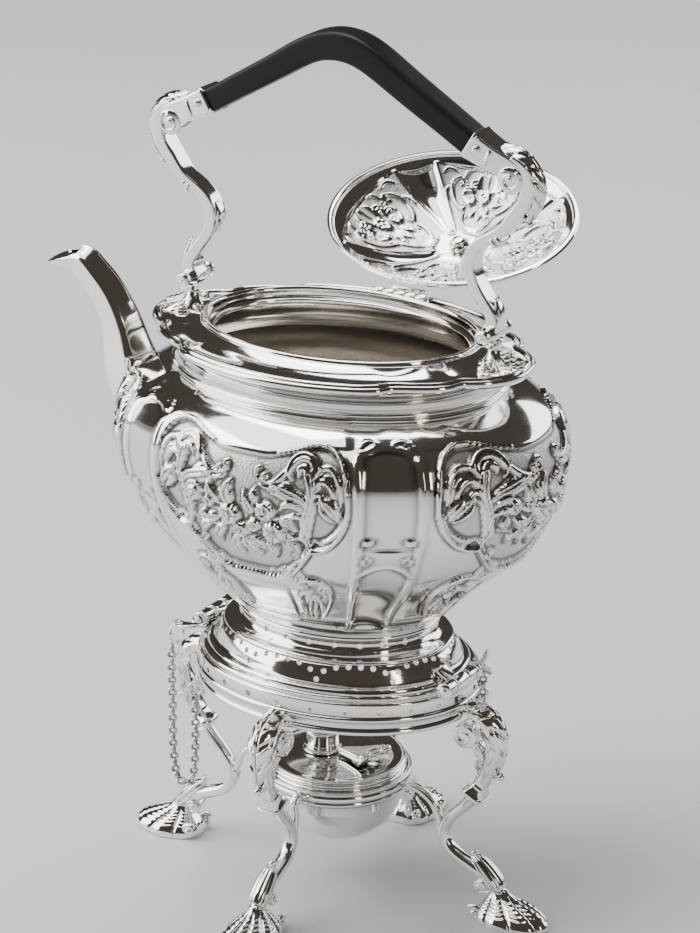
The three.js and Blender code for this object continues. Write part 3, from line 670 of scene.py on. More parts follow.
def chase_bouquet(r):
    """The flowers and leaves across the middle of a wide panel; u runs both ways from the middle."""
    for pts in ([(-26, 73), (-17, 70.6), (-5, 72.6), (10, 77), (22, 82)], [(0, 72), (4, 67), (8, 63)],
                [(-20.6, 82), (-12, 78), (-5, 77)]):
        r.stroke(pts, 0.55, 1.0)
    for pts, width in [([(-4.6, 80.6), (-6.2, 86), (-3.6, 91.4)], 2.3),
                       ([(4.6, 79), (3.0, 83.4), (1.0, 88)], 1.9),
                       ([(6.6, 84), (5.4, 87.6), (6.6, 90.6)], 1.3),
                       ([(-9, 80.6), (-13.4, 85), (-13, 90.4)], 1.8),
                       ([(-9.6, 75), (-14.4, 73.6), (-19.4, 76.6)], 1.8),
                       ([(15.4, 79.4), (18.4, 78), (21.8, 74.4)], 1.6),
                       ([(17.6, 69.8), (21, 66.8), (22.6, 63.4)], 1.6),
                       ([(0, 69), (1.6, 64), (6.4, 60.4)], 2.3),
                       ([(3, 69.6), (6.6, 66), (10.6, 65)], 1.7),
                       ([(-3, 68.4), (-4.4, 63.4), (-1.6, 58.6)], 1.8),
                       ([(-8, 71.6), (-12, 67), (-12, 62)], 1.6),
                       ([(-15, 71), (-18.6, 68.4), (-19.6, 64.6)], 1.4),
                       ([(9.6, 68), (12.6, 64), (12.2, 59.8)], 1.5),
                       ([(-22.6, 79), (-24, 75.4), (-22.6, 72)], 1.3),
                       ([(18, 73.4), (21, 71.4), (23.6, 71.4)], 1.1)]:
        r.stroke(pts, width, 2.0, "leaf", vein=0.45)
        # a smaller lobe springs from each side of each leaf
        (a, b), (c, d) = pts[0], pts[1]
        n = np.array([b - d, c - a]) / math.hypot(c - a, d - b)
        for side in (-1, 1):
            tip = np.array([c, d]) + side * n * width * 1.15 + np.array([c - a, d - b]) * 0.25
            bent = (np.array([a, b]) + tip) / 2 + side * n * 0.4
            r.stroke([(a, b), tuple(bent), tuple(tip)], width * 0.45, 1.7, "leaf")
    for u, v, size, petals in [(10, 81.4, 4.3, 5), (13.2, 72.8, 5.3, 6), (-5, 77.4, 5.0, 5),
                               (-0.8, 71.4, 3.7, 5), (-20.8, 82.2, 3.6, 5), (-13.6, 80.6, 2.6, 5),
                               (5.2, 74.8, 3.0, 5), (-16.4, 74.8, 2.6, 5)]:
        r.flower((u, v), size, 2.5, petals=petals, turn=u)


def build_body():
    """The chased body: a thin shell whose outside is raised and sunk into the panels' designs."""
    t = body_angles()
    profile = spline(BODY_PROFILE, 190)
    rings = oval_rings(profile, angles=t)
    v = np.broadcast_to(run_of(profile)[:, None], rings.shape[:2])
    q, on_x, narrow = (np.broadcast_to(a, v.shape) for a in panel_place(t))
    h = np.zeros(v.shape)
    matting = np.zeros(v.shape)
    top = v[-1, 0]
    for kind, edge in ((False, CANVAS_Y), (True, CANVAS_X)):
        mine = (on_x == kind) & (np.abs(q) <= 1.0)
        u = np.abs(q) * edge
        relief = Relief(np.where(mine, u, FAR), v)
        chase_wide(relief, edge)
        bouquet = Relief(np.where(mine, q * edge, FAR), v)
        chase_bouquet(bouquet)
        raised = np.maximum(relief.h, bouquet.h)
        k = edge / CANVAS_Y
        ceiling = 103 + 6.0 * smoothstep((u / k - 8) / 20)
        right = np.interp(v, [48, 66.6, 71.2, 77.4, 85.4, 94.8, 104.4, 109],
                          [12 * k, 27.2 * k, 36 * k, 39.5 * k, 41.2 * k, 40.6 * k, 38.6 * k, 33 * k])
        floor_line = np.interp(u, [0, 5, 11, 17 * k, 21.4 * k, 24.6 * k, 27.2 * k, 60],
                               [48.8, 48.8, 49.4, 51.8, 56.4, 61.6, 66.6, 67])
        ground = mine & (v > floor_line) & (v < ceiling) & (u < right)
        sunk = smoothstep((v - floor_line) / 1.2) * smoothstep((ceiling - v) / 1.4)
        sunk = sunk * smoothstep((right - u) / 1.2)
        h += np.where(ground, -0.8 * sunk, 0) + 1.35 * raised
        matting += np.where(ground, sunk * (raised < 0.35), 0)
        shoulder = mine & (v >= ceiling)
        h += np.where(shoulder, 0.4 * smoothstep((v - ceiling) / 1.0) * smoothstep((top - v) / 6)
                      * smoothstep((1 - np.abs(q)) / 0.12), 0)
        shield = mine & (v < 42) & (u < 14 * k)
        raised = 0.6 * smoothstep((14 * k - u) / 1.6) * smoothstep((42 - v) / 2) * smoothstep((v - 9) / 4)
        h += np.where(shield, raised, 0)
    # plain narrow panels: facets between crisp edges, arched at the top and again below a scrolled band
    inside = np.abs(narrow) < 1
    arch = 111 - 5.5 * narrow ** 2
    lower_arch = 58 - 7 * narrow ** 2
    facet = 1 - narrow ** 2
    upper = inside & (v < arch) & (v > 66)
    lower = inside & (v < lower_arch)
    h += np.where(upper, -1.25 * facet * smoothstep((arch - v) / 2.4) * smoothstep((v - 66) / 2), 0)
    h += np.where(lower, -1.5 * facet * smoothstep((lower_arch - v) / 1.2) * smoothstep((v - 6) / 3), 0)
    band = inside & (v >= lower_arch) & (v <= 67.5)
    h += np.where(band, 0.7 * np.sin(np.clip((v - lower_arch) / 3.4, 0, 1) * math.pi), 0)
    ridge = np.exp(-(((np.abs(narrow) - 1) / 0.13) ** 2))
    ridge = ridge * smoothstep((108 - v) / 4) * smoothstep((v - 4) / 5)
    h += 0.9 * ridge
    ornament = Relief(np.where(inside, narrow * CANVAS_NARROW, FAR), v)
    for side in (-1, 1):
        ornament.flower((side * 8.2, 71.5), 2.2, 1.4, petals=4)
        ornament.curl((side * 9.4, 62.4), 2.5, 1.2, side, 0.8, 1.2)
        # small diamonds between the arch tops
        ornament.stroke([(side * 12, 108.4), (side * 8, 113.6), (side * 3.4, 112.6)], 0.7, 0.6, "leaf")
        ornament.stroke([(side * 12, 108.4), (side * 7, 109.6), (side * 3.4, 112.6)], 0.6, 0.45, "leaf")
    h += ornament.h
    h *= smoothstep(v / 3.0) * smoothstep((top - v) / 2.0)
    rings = rings + normals_of(rings) * h[..., None]
    # painted shade and tarnish beside the relief and, fainter, over the matted ground
    tarnish_and_shade = np.clip(hollow_marks(h, 0.24) + 0.34 * matting, 0, 1)
    wall = [(64.2, 215.3), (70.6, 212), (77.4, 208.4), (83, 204), (86.4, 199.8), (89, 192), (89, 184),
            (86.8, 175), (82.2, 165.4), (74.6, 153.8), (59.4, 139), (50.4, 129.8), (44, 124.4), (20, 122),
            (2, 121.6)]
    inner = oval_rings(spline(wall, 20), angles=t)
    base = oval_rings([(2, 119.2)], angles=t)
    plain = [(1, 0), (0, 0)], [(0, len(inner)), (0, 0)]  # unmarked rows under the foot and inside
    marks = {mark: np.pad(np.pad(values, plain[0]), plain[1])
             for mark, values in (("tarnish_and_shade", tarnish_and_shade), ("matting", matting))}
    body = loft("kettle_body_chased", "kettle", np.concatenate([base, rings, inner]), material=CHASED,
                replaces=["kettle_body"], marks=marks)
    body.data.materials.append(INSIDE)
    last_outer_row = len(profile) * len(t)
    inside = np.array([p.vertices[0] >= last_outer_row for p in body.data.polygons])
    body.data.polygons.foreach_set("material_index", inside.astype(int))
    body.data.update()


# ---------------------------------------------------------------- neck, collar, mouth
def build_neck():
    """A lower bead on the shoulder, a smooth hollow, and a small bead under the collar."""
    hollow = [(65.2 - 2.5 * math.sin(math.pi * s), 217.9 + 5.0 * s) for s in np.linspace(0, 1, 12)]
    outer = [(64, 215.2), (67.0, 215.2), (67.9, 215.9), (67.9, 216.8), (67.0, 217.5), *hollow, (66.0, 223.2),
             (66.5, 224.2), (65.8, 225.3), (59, 225.7)]
    profile = [(a, z, a - 14.0) for a, z in outer] + [(58.4, 220, 44.6), (60, 215.4, 46.4)]
    loft("neck_mouldings", "kettle", oval_rings(filleted(profile, 0.5, 4), 200), loop=True,
         replaces=["neck_band"])


COLLAR = [(80.2, 0), (79, 8.5), (75, 15.6), (69.4, 20.6), (65.6, 23.4), (64.4, 27.4), (61.4, 31.6),
          (55.6, 36), (49.6, 39.2), (46, 41.8), (43.6, 45.4), (38.4, 49.2), (28, 53.4), (14.5, 56.9)]
MOUTH = (56.3, 41.0)  # half length and half width of the mouth


def collar_outline(n=360):
    """The scalloped edge of the collar, from its end on +x."""
    half = [*COLLAR, (0, 58.2), *[(-x, y) for x, y in COLLAR[1:][::-1]]]
    full = [*half, (-COLLAR[0][0], 0), *[(x, -y) for x, y in half[1:][::-1]]]
    curve = spline(full, n, closed=True)
    start = int(np.argmax(curve[:, 0] - 0.01 * np.abs(curve[:, 1])))
    return np.roll(curve, -start, 0)


def build_collar():
    """The wide concave flange between mouth and border, with a thick rounded double border."""
    outline = collar_outline()
    angle = np.arctan2(outline[:, 1] / MOUTH[1], outline[:, 0] / MOUTH[0])
    inner = np.stack([56.9 * np.cos(angle), 41.6 * np.sin(angle)], 1)
    reach = np.linalg.norm(outline - inner, axis=1)
    away = (outline - inner) / reach[:, None]
    flange = reach - 4.2
    border = [(0.3, 228.2), (0.6, 228.9), (1.1, 229.3), (1.7, 229.2), (2.1, 228.7), (2.3, 228.0),
              (2.5, 227.9), (2.8, 228.4), (3.3, 228.6), (3.9, 228.2), (4.3, 227.2), (4.1, 226.2),
              (3.5, 225.5), (2.6, 225.3), (1.0, 225.6)]
    # each row: a fraction of the flange, a distance past its end, and a height
    rows = [(f, 0, 231.8 - 3.6 * (1 - (1 - f) ** 2.3)) for f in np.linspace(0, 1, 26)]
    rows += [(1, past, z) for past, z in border]
    rows += [(f, 0, 225.9 + 0.4 * (1 - f)) for f in (0.8, 0.5, 0.25, 0.0)]
    rings = [np.column_stack([inner + away * (flange * f + past)[:, None], np.full(len(inner), z)])
             for f, past, z in rows]
    loft("collar_scalloped", "kettle", np.array(rings), loop=True, replaces=["collar"])


def build_mouth():
    """The drawn mouldings of the mouth, with the seat that the lid's rim drops into."""
    a, b = MOUTH
    outer = [(0, 226.6), (0.3, 231.4), (0, 232.9), (-1.1, 233.2), (-1.7, 232.4), (-1.8, 231.2), (-2.0, 229.3),
             (-4.5, 229.0), (-4.8, 227.2), (-3, 226.4)]
    profile = filleted([(a + d, z, b + d) for d, z in outer], 0.4, 4)
    loft("mouth_mouldings", "kettle", oval_rings(profile, 200), loop=True, replaces=["mouth_rim"])


# ---------------------------------------------------------------- pierced foot and stand ring
def pierce(piece, holes, radius):
    """Takes round holes through a shell; holes are (point, direction) pairs; their walls are painted in full
    shade.
    """
    drills = [rod(point - 5 * unit(way), point + 5 * unit(way), radius, 14, 0.0) for point, way in holes]
    # the hole walls are painted in full shade
    cut_away(piece, drills, sharp=42, shade=1.0)


def vent(a, degrees, z, rise=0.0):
    """A hole in an oval wall of half length a: its point and the way out, which may rise."""
    t = math.radians(degrees)
    point = np.array([a * math.cos(t), a * OVAL * math.sin(t), z])
    return point, unit([math.cos(t) * OVAL, math.sin(t), 0]) + [0, 0, rise]


def build_foot():
    """The kettle's stepped oval foot, pierced with a row of holes and with swags of them."""
    outer = [(39.2, 118.9), (41.6, 118.7), (42.2, 117.6), (41.4, 116.7), (40.2, 116.3), (39.6, 115.2),
             (39.7, 113.6), (40.8, 112), (42.8, 110.8), (45.2, 110.3), (46.6, 110.2), (47.4, 109.6),
             (47.2, 109), (47.8, 108.6), (49, 106.9), (50, 104.6), (50.8, 102.2), (51.6, 101.4),
             (53.2, 101.2), (54, 100.6), (54.2, 99.8), (55.4, 99.5), (56.5, 98.8), (56.7, 98.1), (56.2, 97.6)]
    inner = [(54.4, 97.6), (49.2, 99.6), (48.4, 102.4), (47.4, 105.6), (45.6, 108), (42.8, 109), (40, 110.2),
             (38.3, 112.6), (38, 116)]
    rings = oval_rings(closed_outline(outer + inner, 0.5, 3), 180)
    foot = loft("kettle_foot_pierced", "kettle", rings, loop=True, replaces=["kettle_foot"])
    holes = [vent(40, 7.5 + 15 * k, 114.2, 0.15) for k in range(24)]
    for middle in range(-75, 285, 36):  # ten swags of six holes, with one hole below each
        for shift, z, a in [(3.2, 106.6, 49.2), (9, 108.1, 48.2), (15, 108.6, 48)]:
            holes += [vent(a, middle + side * shift, z, 0.6) for side in (-1, 1)]
        holes.append(vent(50.6, middle, 103.2, 0.3))
    pierce(foot, holes, radius=1.12)


def build_stand_ring():
    """The moulded oval ring of the stand, with a row of holes round it."""
    outer = [(55.2, 97.2), (57.4, 97.2), (58.2, 96.6), (58.3, 95), (58.2, 91.4), (58.8, 91), (59.2, 90.2),
             (58.8, 89.4), (57.8, 89), (57.3, 87.6), (57.5, 86.2), (58.2, 85.6), (58.4, 84.6), (57.8, 83.7),
             (56, 83.5)]
    inner = [(53.6, 83.6), (54, 88), (54.8, 92), (54.4, 96.6)]
    rings = oval_rings(closed_outline(outer + inner, 0.4, 3), 180)
    ring = loft("stand_ring_pierced", "stand", rings, loop=True, replaces=["stand_ring"])
    count = 26
    pierce(ring, [vent(57, 7 + 360 / count * k, 93.4) for k in range(count)], radius=1.15)


# ---------------------------------------------------------------- leaves, scrolls and small ornaments
def spiral(centre, radius, start, hand, turns=1.5, n=48, inner=0.16):
    """A spiral in the XZ plane: x, z rows from its outer end to its eye."""
    s = np.linspace(0, 1, n)
    angle = start + hand * TAU * turns * s
    r = radius * (1 - (1 - inner) * s)
    return np.stack([centre[0] + r * np.cos(angle), centre[1] + r * np.sin(angle)], 1)


def face_spiral(centre, radius, start, hand, y, side, gauge=0.55, turns=1.4):
    """A raised spiral on a side face, and the button at its eye."""
    path = flat(spiral(centre, radius, start, hand, turns), y)
    tube = wire(path, gauge * np.linspace(1, 0.7, len(path)), 8)
    eye = [centre[0], y - side * 0.3, centre[1]]
    return [tube, rod(eye, [centre[0], y + side * 0.6, centre[1]], gauge * 1.7, 16, 0.3)]


def ball(centre, radius, squash=(1, 1, 1), n=14):
    """A closed round or squashed ball."""
    a = np.linspace(-math.pi / 2, math.pi / 2, n)[1:-1, None]
    q = around(20)
    rings = surface(np.cos(a) * np.cos(q), np.cos(a) * np.sin(q), np.sin(a))
    return closed_rings(rings * radius * np.array(squash) + centre)


def leaf(path, out, width, height, lobes=5, curl=0.0, steps=70, across=23, wrap=0.0, root=0.12, tip=0.92,
         deep=0.5):
    """An acanthus leaf laid along a 3-D path, with scalloped edges, a groove and a cut vein to each lobe."""
    points = spline3(path, steps)
    along = unit(np.gradient(points, axis=0))
    out = np.broadcast_to(np.asarray(out, float), points.shape)
    out = unit(out - (out * along).sum(1)[:, None] * along)
    side = np.cross(along, out)
    s = np.linspace(0, 1, steps)[:, None]
    x = np.linspace(-1, 1, across)[None, :]
    half = width * np.sin(math.pi * (root + (tip - root) * s)) ** 0.6
    half = half * (0.84 + 0.16 * np.abs(np.sin(math.pi * lobes * s)) ** 0.5)
    crown = height * np.sqrt(np.clip(1 - 0.92 * x ** 2, 0, 1))
    phase = (lobes * (s - 0.16 * (1 - np.abs(x))) + 0.5) % 1 - 0.5
    cut = np.exp(-((phase / 0.12) ** 2)) * smoothstep((np.abs(x) - 0.08) / 0.2)
    crown = crown * (1 - deep * cut - 0.5 * np.exp(-((x / 0.1) ** 2)))
    crown = crown * np.sin(math.pi * (root + (tip - root) * s)) ** 0.4
    rise = curl * s ** 3 - wrap * half * x ** 2
    top = points[:, None] + side[:, None] * (x * half)[..., None] + out[:, None] * (crown + rise)[..., None]
    under = points[:, None] + side[:, None] * (x * half * 0.88)[..., None]
    under = under + out[:, None] * (rise - 0.45)[..., None]
    return closed_rings(np.concatenate([top, under[:, ::-1]], 1))


def mirrored(parts, sign):
    """The same (vertices, faces) parts on the other side of x = 0."""
    return [(v * [sign, 1, 1], f) for v, f in parts]


# ---------------------------------------------------------------- handle
GRIP_MIDDLE = [(55.6, 312.6, 4.7, 5.7), (48, 317.2, 4.7, 5.8), (40.4, 321.7, 4.8, 5.9), (27.4, 329.4, 5.0, 6),
               (14.4, 337.2, 5.3, 6), (6.5, 340.4, 5.5, 6), (0, 341.2, 5.6, 6)]
COLUMN = [(65.4, 241.6, 3.2, 4.4), (66.4, 246, 2.6, 4.2), (63.8, 251.4, 2.2, 4.1), (58.8, 258.4, 2.3, 4),
          (56.2, 265.6, 2.4, 4), (57.6, 271.8, 2.4, 4), (62.4, 276.6, 2.3, 4), (68.8, 280.8, 2.3, 4.2),
          (73.4, 286.4, 2.4, 4.3), (78.0, 292.6, 2.7, 4.4), (79.9, 299.2, 2.9, 4.5), (78.0, 305.2, 2.6, 4.6),
          (72.6, 308.6, 2.4, 4.8)]
SOCKET = [(76.6, 303.2, 4.2, 4.9), (72, 305.4, 4.6, 5.2), (64.6, 308.6, 5.0, 6.0), (57.4, 312.2, 5.5, 6.5),
          (56.2, 312.9, 5.5, 6.5)]


def build_handle():
    """The black grip, and at each end its socket and a cast upright on a leafy foot."""
    path = [(-x, *rest) for x, *rest in GRIP_MIDDLE] + GRIP_MIDDLE[-2::-1]
    rings = bar_rings(path, 120, 48, 0.74)
    loft("grip_black", "kettle", rings, material=GRIP, slot="grip", replaces=["handle_grip"])
    for end, sign in (("front", -1), ("rear", 1)):
        # the cast upright, with beads across the outside of its bend
        parts = [bar(COLUMN, 170, 40, 0.78)]
        for x, z, proud in [(66.5, 276.6, 2.3), (68.3, 278.0, 1.8)]:
            bead = [(x + way * 0.72, z + way * 0.54, proud - low_by, wide)
                    for way, low_by, wide in ((-1, 0.6, 4.2), (-0.5, 0, 4.7), (0.5, 0, 4.7), (1, 0.6, 4.2))]
            parts.append(bar(bead, 8, 28, 0.6, straight=True))
        # a swelling inside the lower bend
        swelling = [(55.2, 260.5, 0.6, 2.4), (53.6, 266.4, 1.2, 3.2), (55.4, 272.2, 0.6, 2.4)]
        parts.append(bar(swelling, 30, 16, 0.3))
        # elbow drum with a spiral on each face, under the leaf that wraps the outside
        parts.append(rod([73.2, -5.3, 301.8], [73.2, 5.3, 301.8], 5.0, 48, 0.4))
        for side in (-1, 1):
            parts += face_spiral((73.2, 301.8), 4.2, 0.9, -1, side * 5.25, side, 0.8, 1.25)
        elbow = [(67.4, 312.2), (73.2, 311.8), (79.2, 308.6), (82.9, 302.6), (83.4, 295.6), (81, 289.6),
                 (78, 286)]
        parts.append(leaf(flat(elbow), away_from(70, 299, elbow, 70), 4.7, 1.7, lobes=6, curl=0.8, wrap=0.3,
                          deep=0.65))
        parts.append(ball([79.4, 0, 284.9], 1.5))
        stalk = [(77.4, 287.6, 1.0, 2.2), (79, 286, 0.9, 1.6), (79.6, 284.8, 0.6, 1.0)]
        parts.append(bar(stalk, 12, 14, 0.2))
        # a slip leaf that peels off the outside above the base roll
        slip = [(67.6, 244.4, 1.3, 3.0), (68.4, 248, 1.2, 3.0), (67.6, 251.4, 1.0, 2.4),
                (66.6, 254, 0.7, 1.5)]
        parts.append(bar(slip, 30, 20, 0.4))
        parts.append(ball([66.9, 0, 254.6], 1.25, (1, 1.3, 1)))
        # the roll the upright stands on, with a turned button at each end
        roll = [(-9.9, 1.2), (-9.8, 2.6), (-9.4, 3.0), (-8.2, 3.1), (-7.8, 2.8), (-7.0, 2.5), (-6.2, 2.7),
                (-5.0, 3.1), (-3.6, 3.5), (-2, 3.6), (0, 3.6)]
        roll = roll + [(-y, r) for y, r in roll[-2::-1]]
        parts.append(turned_y(filleted(roll, 0.25, 4), 65.4, 241.0, 28))
        for side in (-1, 1):
            parts += face_spiral((65.4, 241.0), 2.3, 1.0, 1, side * 9.8, side, 0.42, 1.1)
        merged(f"handle_column_cast_{end}", "kettle", mirrored(parts, sign),
               replaces=[f"handle_column_{end}"])
        build_socket(end, sign)
        build_pedestal(end, sign)


def away_from(x, z, path, steps):
    """For each step of a leaf laid round a bend, the way out from the bend's middle."""
    return unit(spline3(flat(path), steps) - [x, 0, z])


def build_socket(end, sign):
    """The tapered box that takes the grip, with a lip and an engraved wave on each side face."""
    steps, sides = 110, 96
    rings = bar_rings(SOCKET, steps, sides, 0.78)
    middle = rings.mean(1, keepdims=True)
    arm = spline(SOCKET, steps)[:, :2]
    run = run_of(arm)
    u = np.broadcast_to(run[:, None], rings.shape[:2])
    step = unit(np.gradient(arm, axis=0))
    d = rings - middle
    v = d[..., 2] * step[:, None, 0] - d[..., 0] * step[:, None, 1]
    on_face = np.abs(rings[..., 1]) > 0.93 * np.abs(rings[..., 1]).max(1, keepdims=True)
    total = run[-1]
    relief = Relief(np.where(on_face, u, FAR), v)
    relief.stroke([(total - 5.6, 1.8), (total - 7.6, -1.4), (total - 9.8, -1.6), (total - 11, 0.6),
                   (total - 12.6, 1.2)], 0.7, 0.7, "leaf")
    relief.curl((total - 7.8, 1.4), 1.5, 2.4, 1, 0.5, 0.7, turns=0.8)
    relief.stroke([(total - 12.2, -2.0), (total - 14, 0.4), (total - 16.4, 1.6)], 0.8, 0.7, "leaf")
    sides_out = np.sign(rings[..., 1])
    lip = 0.35 * smoothstep((u - (total - 1.8)) / 0.5)
    rings[..., 1] += sides_out * (relief.h + lip - 0.25 * on_face * smoothstep((total - 2.4 - u) / 0.6))
    # painted shade and tarnish beside the engraving
    marks = {"tarnish_and_shade": hollow_marks(relief.h, 0.2) * on_face}
    loft(f"handle_socket_engraved_{end}", "kettle", rings * [sign, 1, 1], marks=marks,
         replaces=[f"handle_socket_{end}"])
    x, z = 59.9, 311.4
    heads = [rod([x, side * 6.2, z], [x, side * 7.5, z], 1.5, 20, 0.5) for side in (-1, 1)]
    merged(f"handle_rivet_heads_{end}", "kettle", mirrored(heads, sign), replaces=[f"handle_rivet_{end}"])


def build_pedestal(end, sign):
    """The leafy foot that spreads over the collar: a waisted neck, a lobed skirt and two small curls."""
    t = around(150)
    rings = []
    profile = [(1.03, 227.5), (1.02, 228.1), (0.98, 228.6), (0.88, 229.1), (0.72, 229.6), (0.54, 230.5),
               (0.39, 231.8), (0.28, 233.4), (0.235, 235.2), (0.25, 237), (0.33, 238.8)]
    for f, z in spline(profile, 44):
        spread = smoothstep((f - 0.34) / 0.4)
        lobe = np.abs(np.cos(3.5 * t)) ** 0.5
        grow = 1 + 0.13 * (lobe - 0.7) * spread
        rings.append(np.stack([68.4 - 3.0 * (1 - f) + 9.8 * f * grow * np.cos(t), 11.0 * f * grow * np.sin(t),
                               z + 1.2 * (lobe - 0.75) * spread * smoothstep((1.0 - f) / 0.2)], -1))
    parts = [closed_rings(np.array(rings))]
    for side in (-1, 1):
        p = spiral((66.4, side * 8.4), 2.7, -1.2 * side, side, 1.35, 50, 0.12)
        path = np.stack([p[:, 0], p[:, 1], np.linspace(229.3, 230.9, len(p))], 1)
        parts.append(wire(path, np.linspace(0.75, 1.15, len(p)), 12))
        parts.append(ball([66.4, side * 8.4, 230.7], 1.25))
        tongue = [(68.8, side * 2.2, 231.6), (72.6, side * 5.0, 230.2), (76.8, side * 7.2, 229.0)]
        parts.append(leaf(tongue, (0.2, 0, 1), 1.9, 0.9, lobes=3))
    parts.append(leaf([(69.0, 0, 233.0), (73.0, 0, 230.9), (78.6, 0, 229.1)], (0.3, 0, 1), 2.3, 1.2, lobes=4))
    merged(f"handle_foot_shell_{end}", "kettle", mirrored(parts, sign), replaces=[f"handle_foot_{end}"])


# ---------------------------------------------------------------- spout
SPOUT = [(-84, 184, 20, 12.5), (-90.6, 191.4, 17.4, 11.6), (-96, 200.8, 13.6, 9.8), (-98.9, 211.6, 10.6, 8.4),
         (-102.4, 220.8, 9, 7.6), (-107.4, 228.2, 8.6, 7.0), (-113.6, 234.2, 8.2, 6.3),
         (-118.2, 237.4, 7.6, 5.6), (-122.4, 237.4, 4.8, 4.9), (-127.6, 236.6, 2.9, 3.9),
         (-133.8, 234.9, 0.9, 1.9)]


def section(corners, per_edge=5, radius=0.07):
    """A closed polygon section with softened corners, as unit points."""
    c = np.asarray(corners, float)
    n = len(c)
    out = []
    for i in range(n):
        before, here, after = c[i - 1], c[i], c[(i + 1) % n]
        a = here + unit(before - here) * radius
        b = here + unit(after - here) * radius
        out += [a, (a + 2 * here + b) / 4, b]
        far = after + unit(here - after) * radius
        out += [b + (far - b) * k / per_edge for k in range(1, per_edge)]
    return np.array(out)


def build_spout():
    """A spout with a ridge down its back, a double ridge on each side and a broad front."""
    corners = [(1, 0.06), (0.56, 0.86), (0.36, 1.0), (0.22, 0.97), (-0.5, 0.84), (-0.82, 0.56), (-1, 0.2)]
    corners += [(a, -b) for a, b in corners[::-1]]
    shape = section(corners)
    path = spline(SPOUT, 170)
    along = unit(np.gradient(path[:, :2], axis=0))
    # the back steps down where the sheath at the root begins
    sheath = 1 - 0.1 * smoothstep((203.5 - path[:, 1:2]) / 0.8) * smoothstep((shape[None, :, 0] - 0.3) / 0.2)
    up = shape[None, :, 0] * path[:, 2:3] * sheath
    rings = surface(path[:, :1] + along[:, 1:] * up, shape[None, :, 1] * path[:, 3:4] * sheath,
                    path[:, 1:2] - along[:, :1] * up)
    spout = merged("spout_faceted", "kettle", [closed_rings(rings)], replaces=["spout"], sharp=24)
    # the hollow of the mouth, between the hood and the beak
    bore = [(-108, 231, 4.4, 3.8), (-114, 236.2, 4.4, 3.9), (-119.4, 240.6, 4.2, 3.8),
            (-122.4, 246, 3.2, 3.6), (-123.6, 252, 3.2, 3.6)]
    verts, faces = bar(bore, 30, 24, 0.1)
    turned_out = [(first, *rest[::-1]) for first, *rest in faces]  # the bar comes out facing in
    cut_away(spout, [(verts, turned_out)], sharp=28)
    leaves = []
    for side in (-1, 1):
        edge = [(-83.6, side * 14.6, 180), (-87.6, side * 13.2, 186), (-90, side * 12, 192.4),
                (-90.4, side * 10.8, 199), (-91.4, side * 9.4, 204.6)]
        leaves.append(leaf(edge, (-0.35, side, 0.1), 2.3, 0.9, wrap=0.1, deep=0.6))
        hook = flat(spiral((-85.4, 202.4), 2.3, 0.4, -side, 1.3, 40, 0.14), side * 10.2)
        leaves.append(wire(hook, np.linspace(0.8, 0.5, len(hook)), 10))
    merged("spout_leaves", "kettle", leaves)


# ---------------------------------------------------------------- lid and hinge
HINGE = np.array([0.0, 45.5, 231.3])
LID_HALF = (53.6, 38.6)
LID_OPEN = math.radians(-153)  # turned back from closed
LID_CANVAS = 23.0  # half width of a wide panel's design


def lid_place(points):
    """From the closed lid, about its hinge, to where it rests open."""
    return np.asarray(points, float) @ np.array(Matrix.Rotation(LID_OPEN, 3, "X")).T + HINGE


def lid_rings(profile, t):
    """Oval rings of the closed lid, from the hinge; the profile has fractions of the lid and heights."""
    x = LID_HALF[0] * profile[:, :1] * np.cos(t)
    y = LID_HALF[1] * profile[:, :1] * np.sin(t)
    return surface(x, y - HINGE[1], profile[:, 1:2])


def chase_lid(r):
    """One half of a wide lid panel: u runs from its middle, v out from the lid's centre."""
    # the cartouche: C-scrolls that meet in curls
    r.stroke([(0, 39.4), (5, 40), (9.6, 38.6), (11.6, 35.4)], 0.75, 1.1)
    r.curl((10.4, 34.4), 2.0, 0.6, -1, 0.7, 1.2, turns=0.9)
    r.stroke([(13.2, 36.2), (17, 34.4), (18.6, 29.4), (17, 24.2), (13.2, 21.4)], 0.85, 1.2)
    r.curl((13.4, 23.8), 2.2, -1.4, -1, 0.75, 1.3, turns=0.9)
    r.curl((13.8, 33.8), 2.0, 1.2, 1, 0.7, 1.2, turns=0.9)
    r.stroke([(12.4, 19.6), (13.6, 15), (10, 11.6), (5, 10.8), (0, 10.8)], 0.8, 1.2)
    r.curl((10.8, 18), 1.9, 0.4, 1, 0.65, 1.1, turns=0.9)
    for i in range(4):
        r.stroke([(1.2 + 2.3 * i, 11.4 + 0.3 * i), (1.0 + 2.0 * i, 14.6 - 0.2 * i)], 0.75, 0.9, "leaf")
    # flowers and leaves in the middle
    for pts, width in [([(2, 30), (4.6, 34.4), (3.4, 38)], 1.4), ([(6, 30), (10, 31.4), (13, 29.4)], 1.3),
                       ([(5, 25), (9.6, 25.6), (12.4, 28)], 1.3), ([(3, 22), (6.4, 19.4), (9, 20)], 1.2),
                       ([(0, 24), (1.4, 20), (0, 16.4)], 1.4), ([(0, 33), (-0.6, 36), (0.4, 38.4)], 1.1)]:
        r.stroke(pts, width, 1.3, "leaf", vein=0.45)
    for u, v, size in [(0, 28.6, 3.9), (6.4, 33.4, 2.7), (7.4, 26.6, 2.9), (4.4, 21.6, 2.4)]:
        r.flower((u, v), size, 1.5, turn=u)
    # small sprays outside the cartouche
    r.stroke([(14.6, 38.4), (18, 39.6), (21, 37.4)], 0.9, 0.9, "leaf", vein=0.3)
    r.stroke([(19.6, 33), (21.6, 30), (21.4, 26)], 0.8, 0.9, "leaf", vein=0.3)


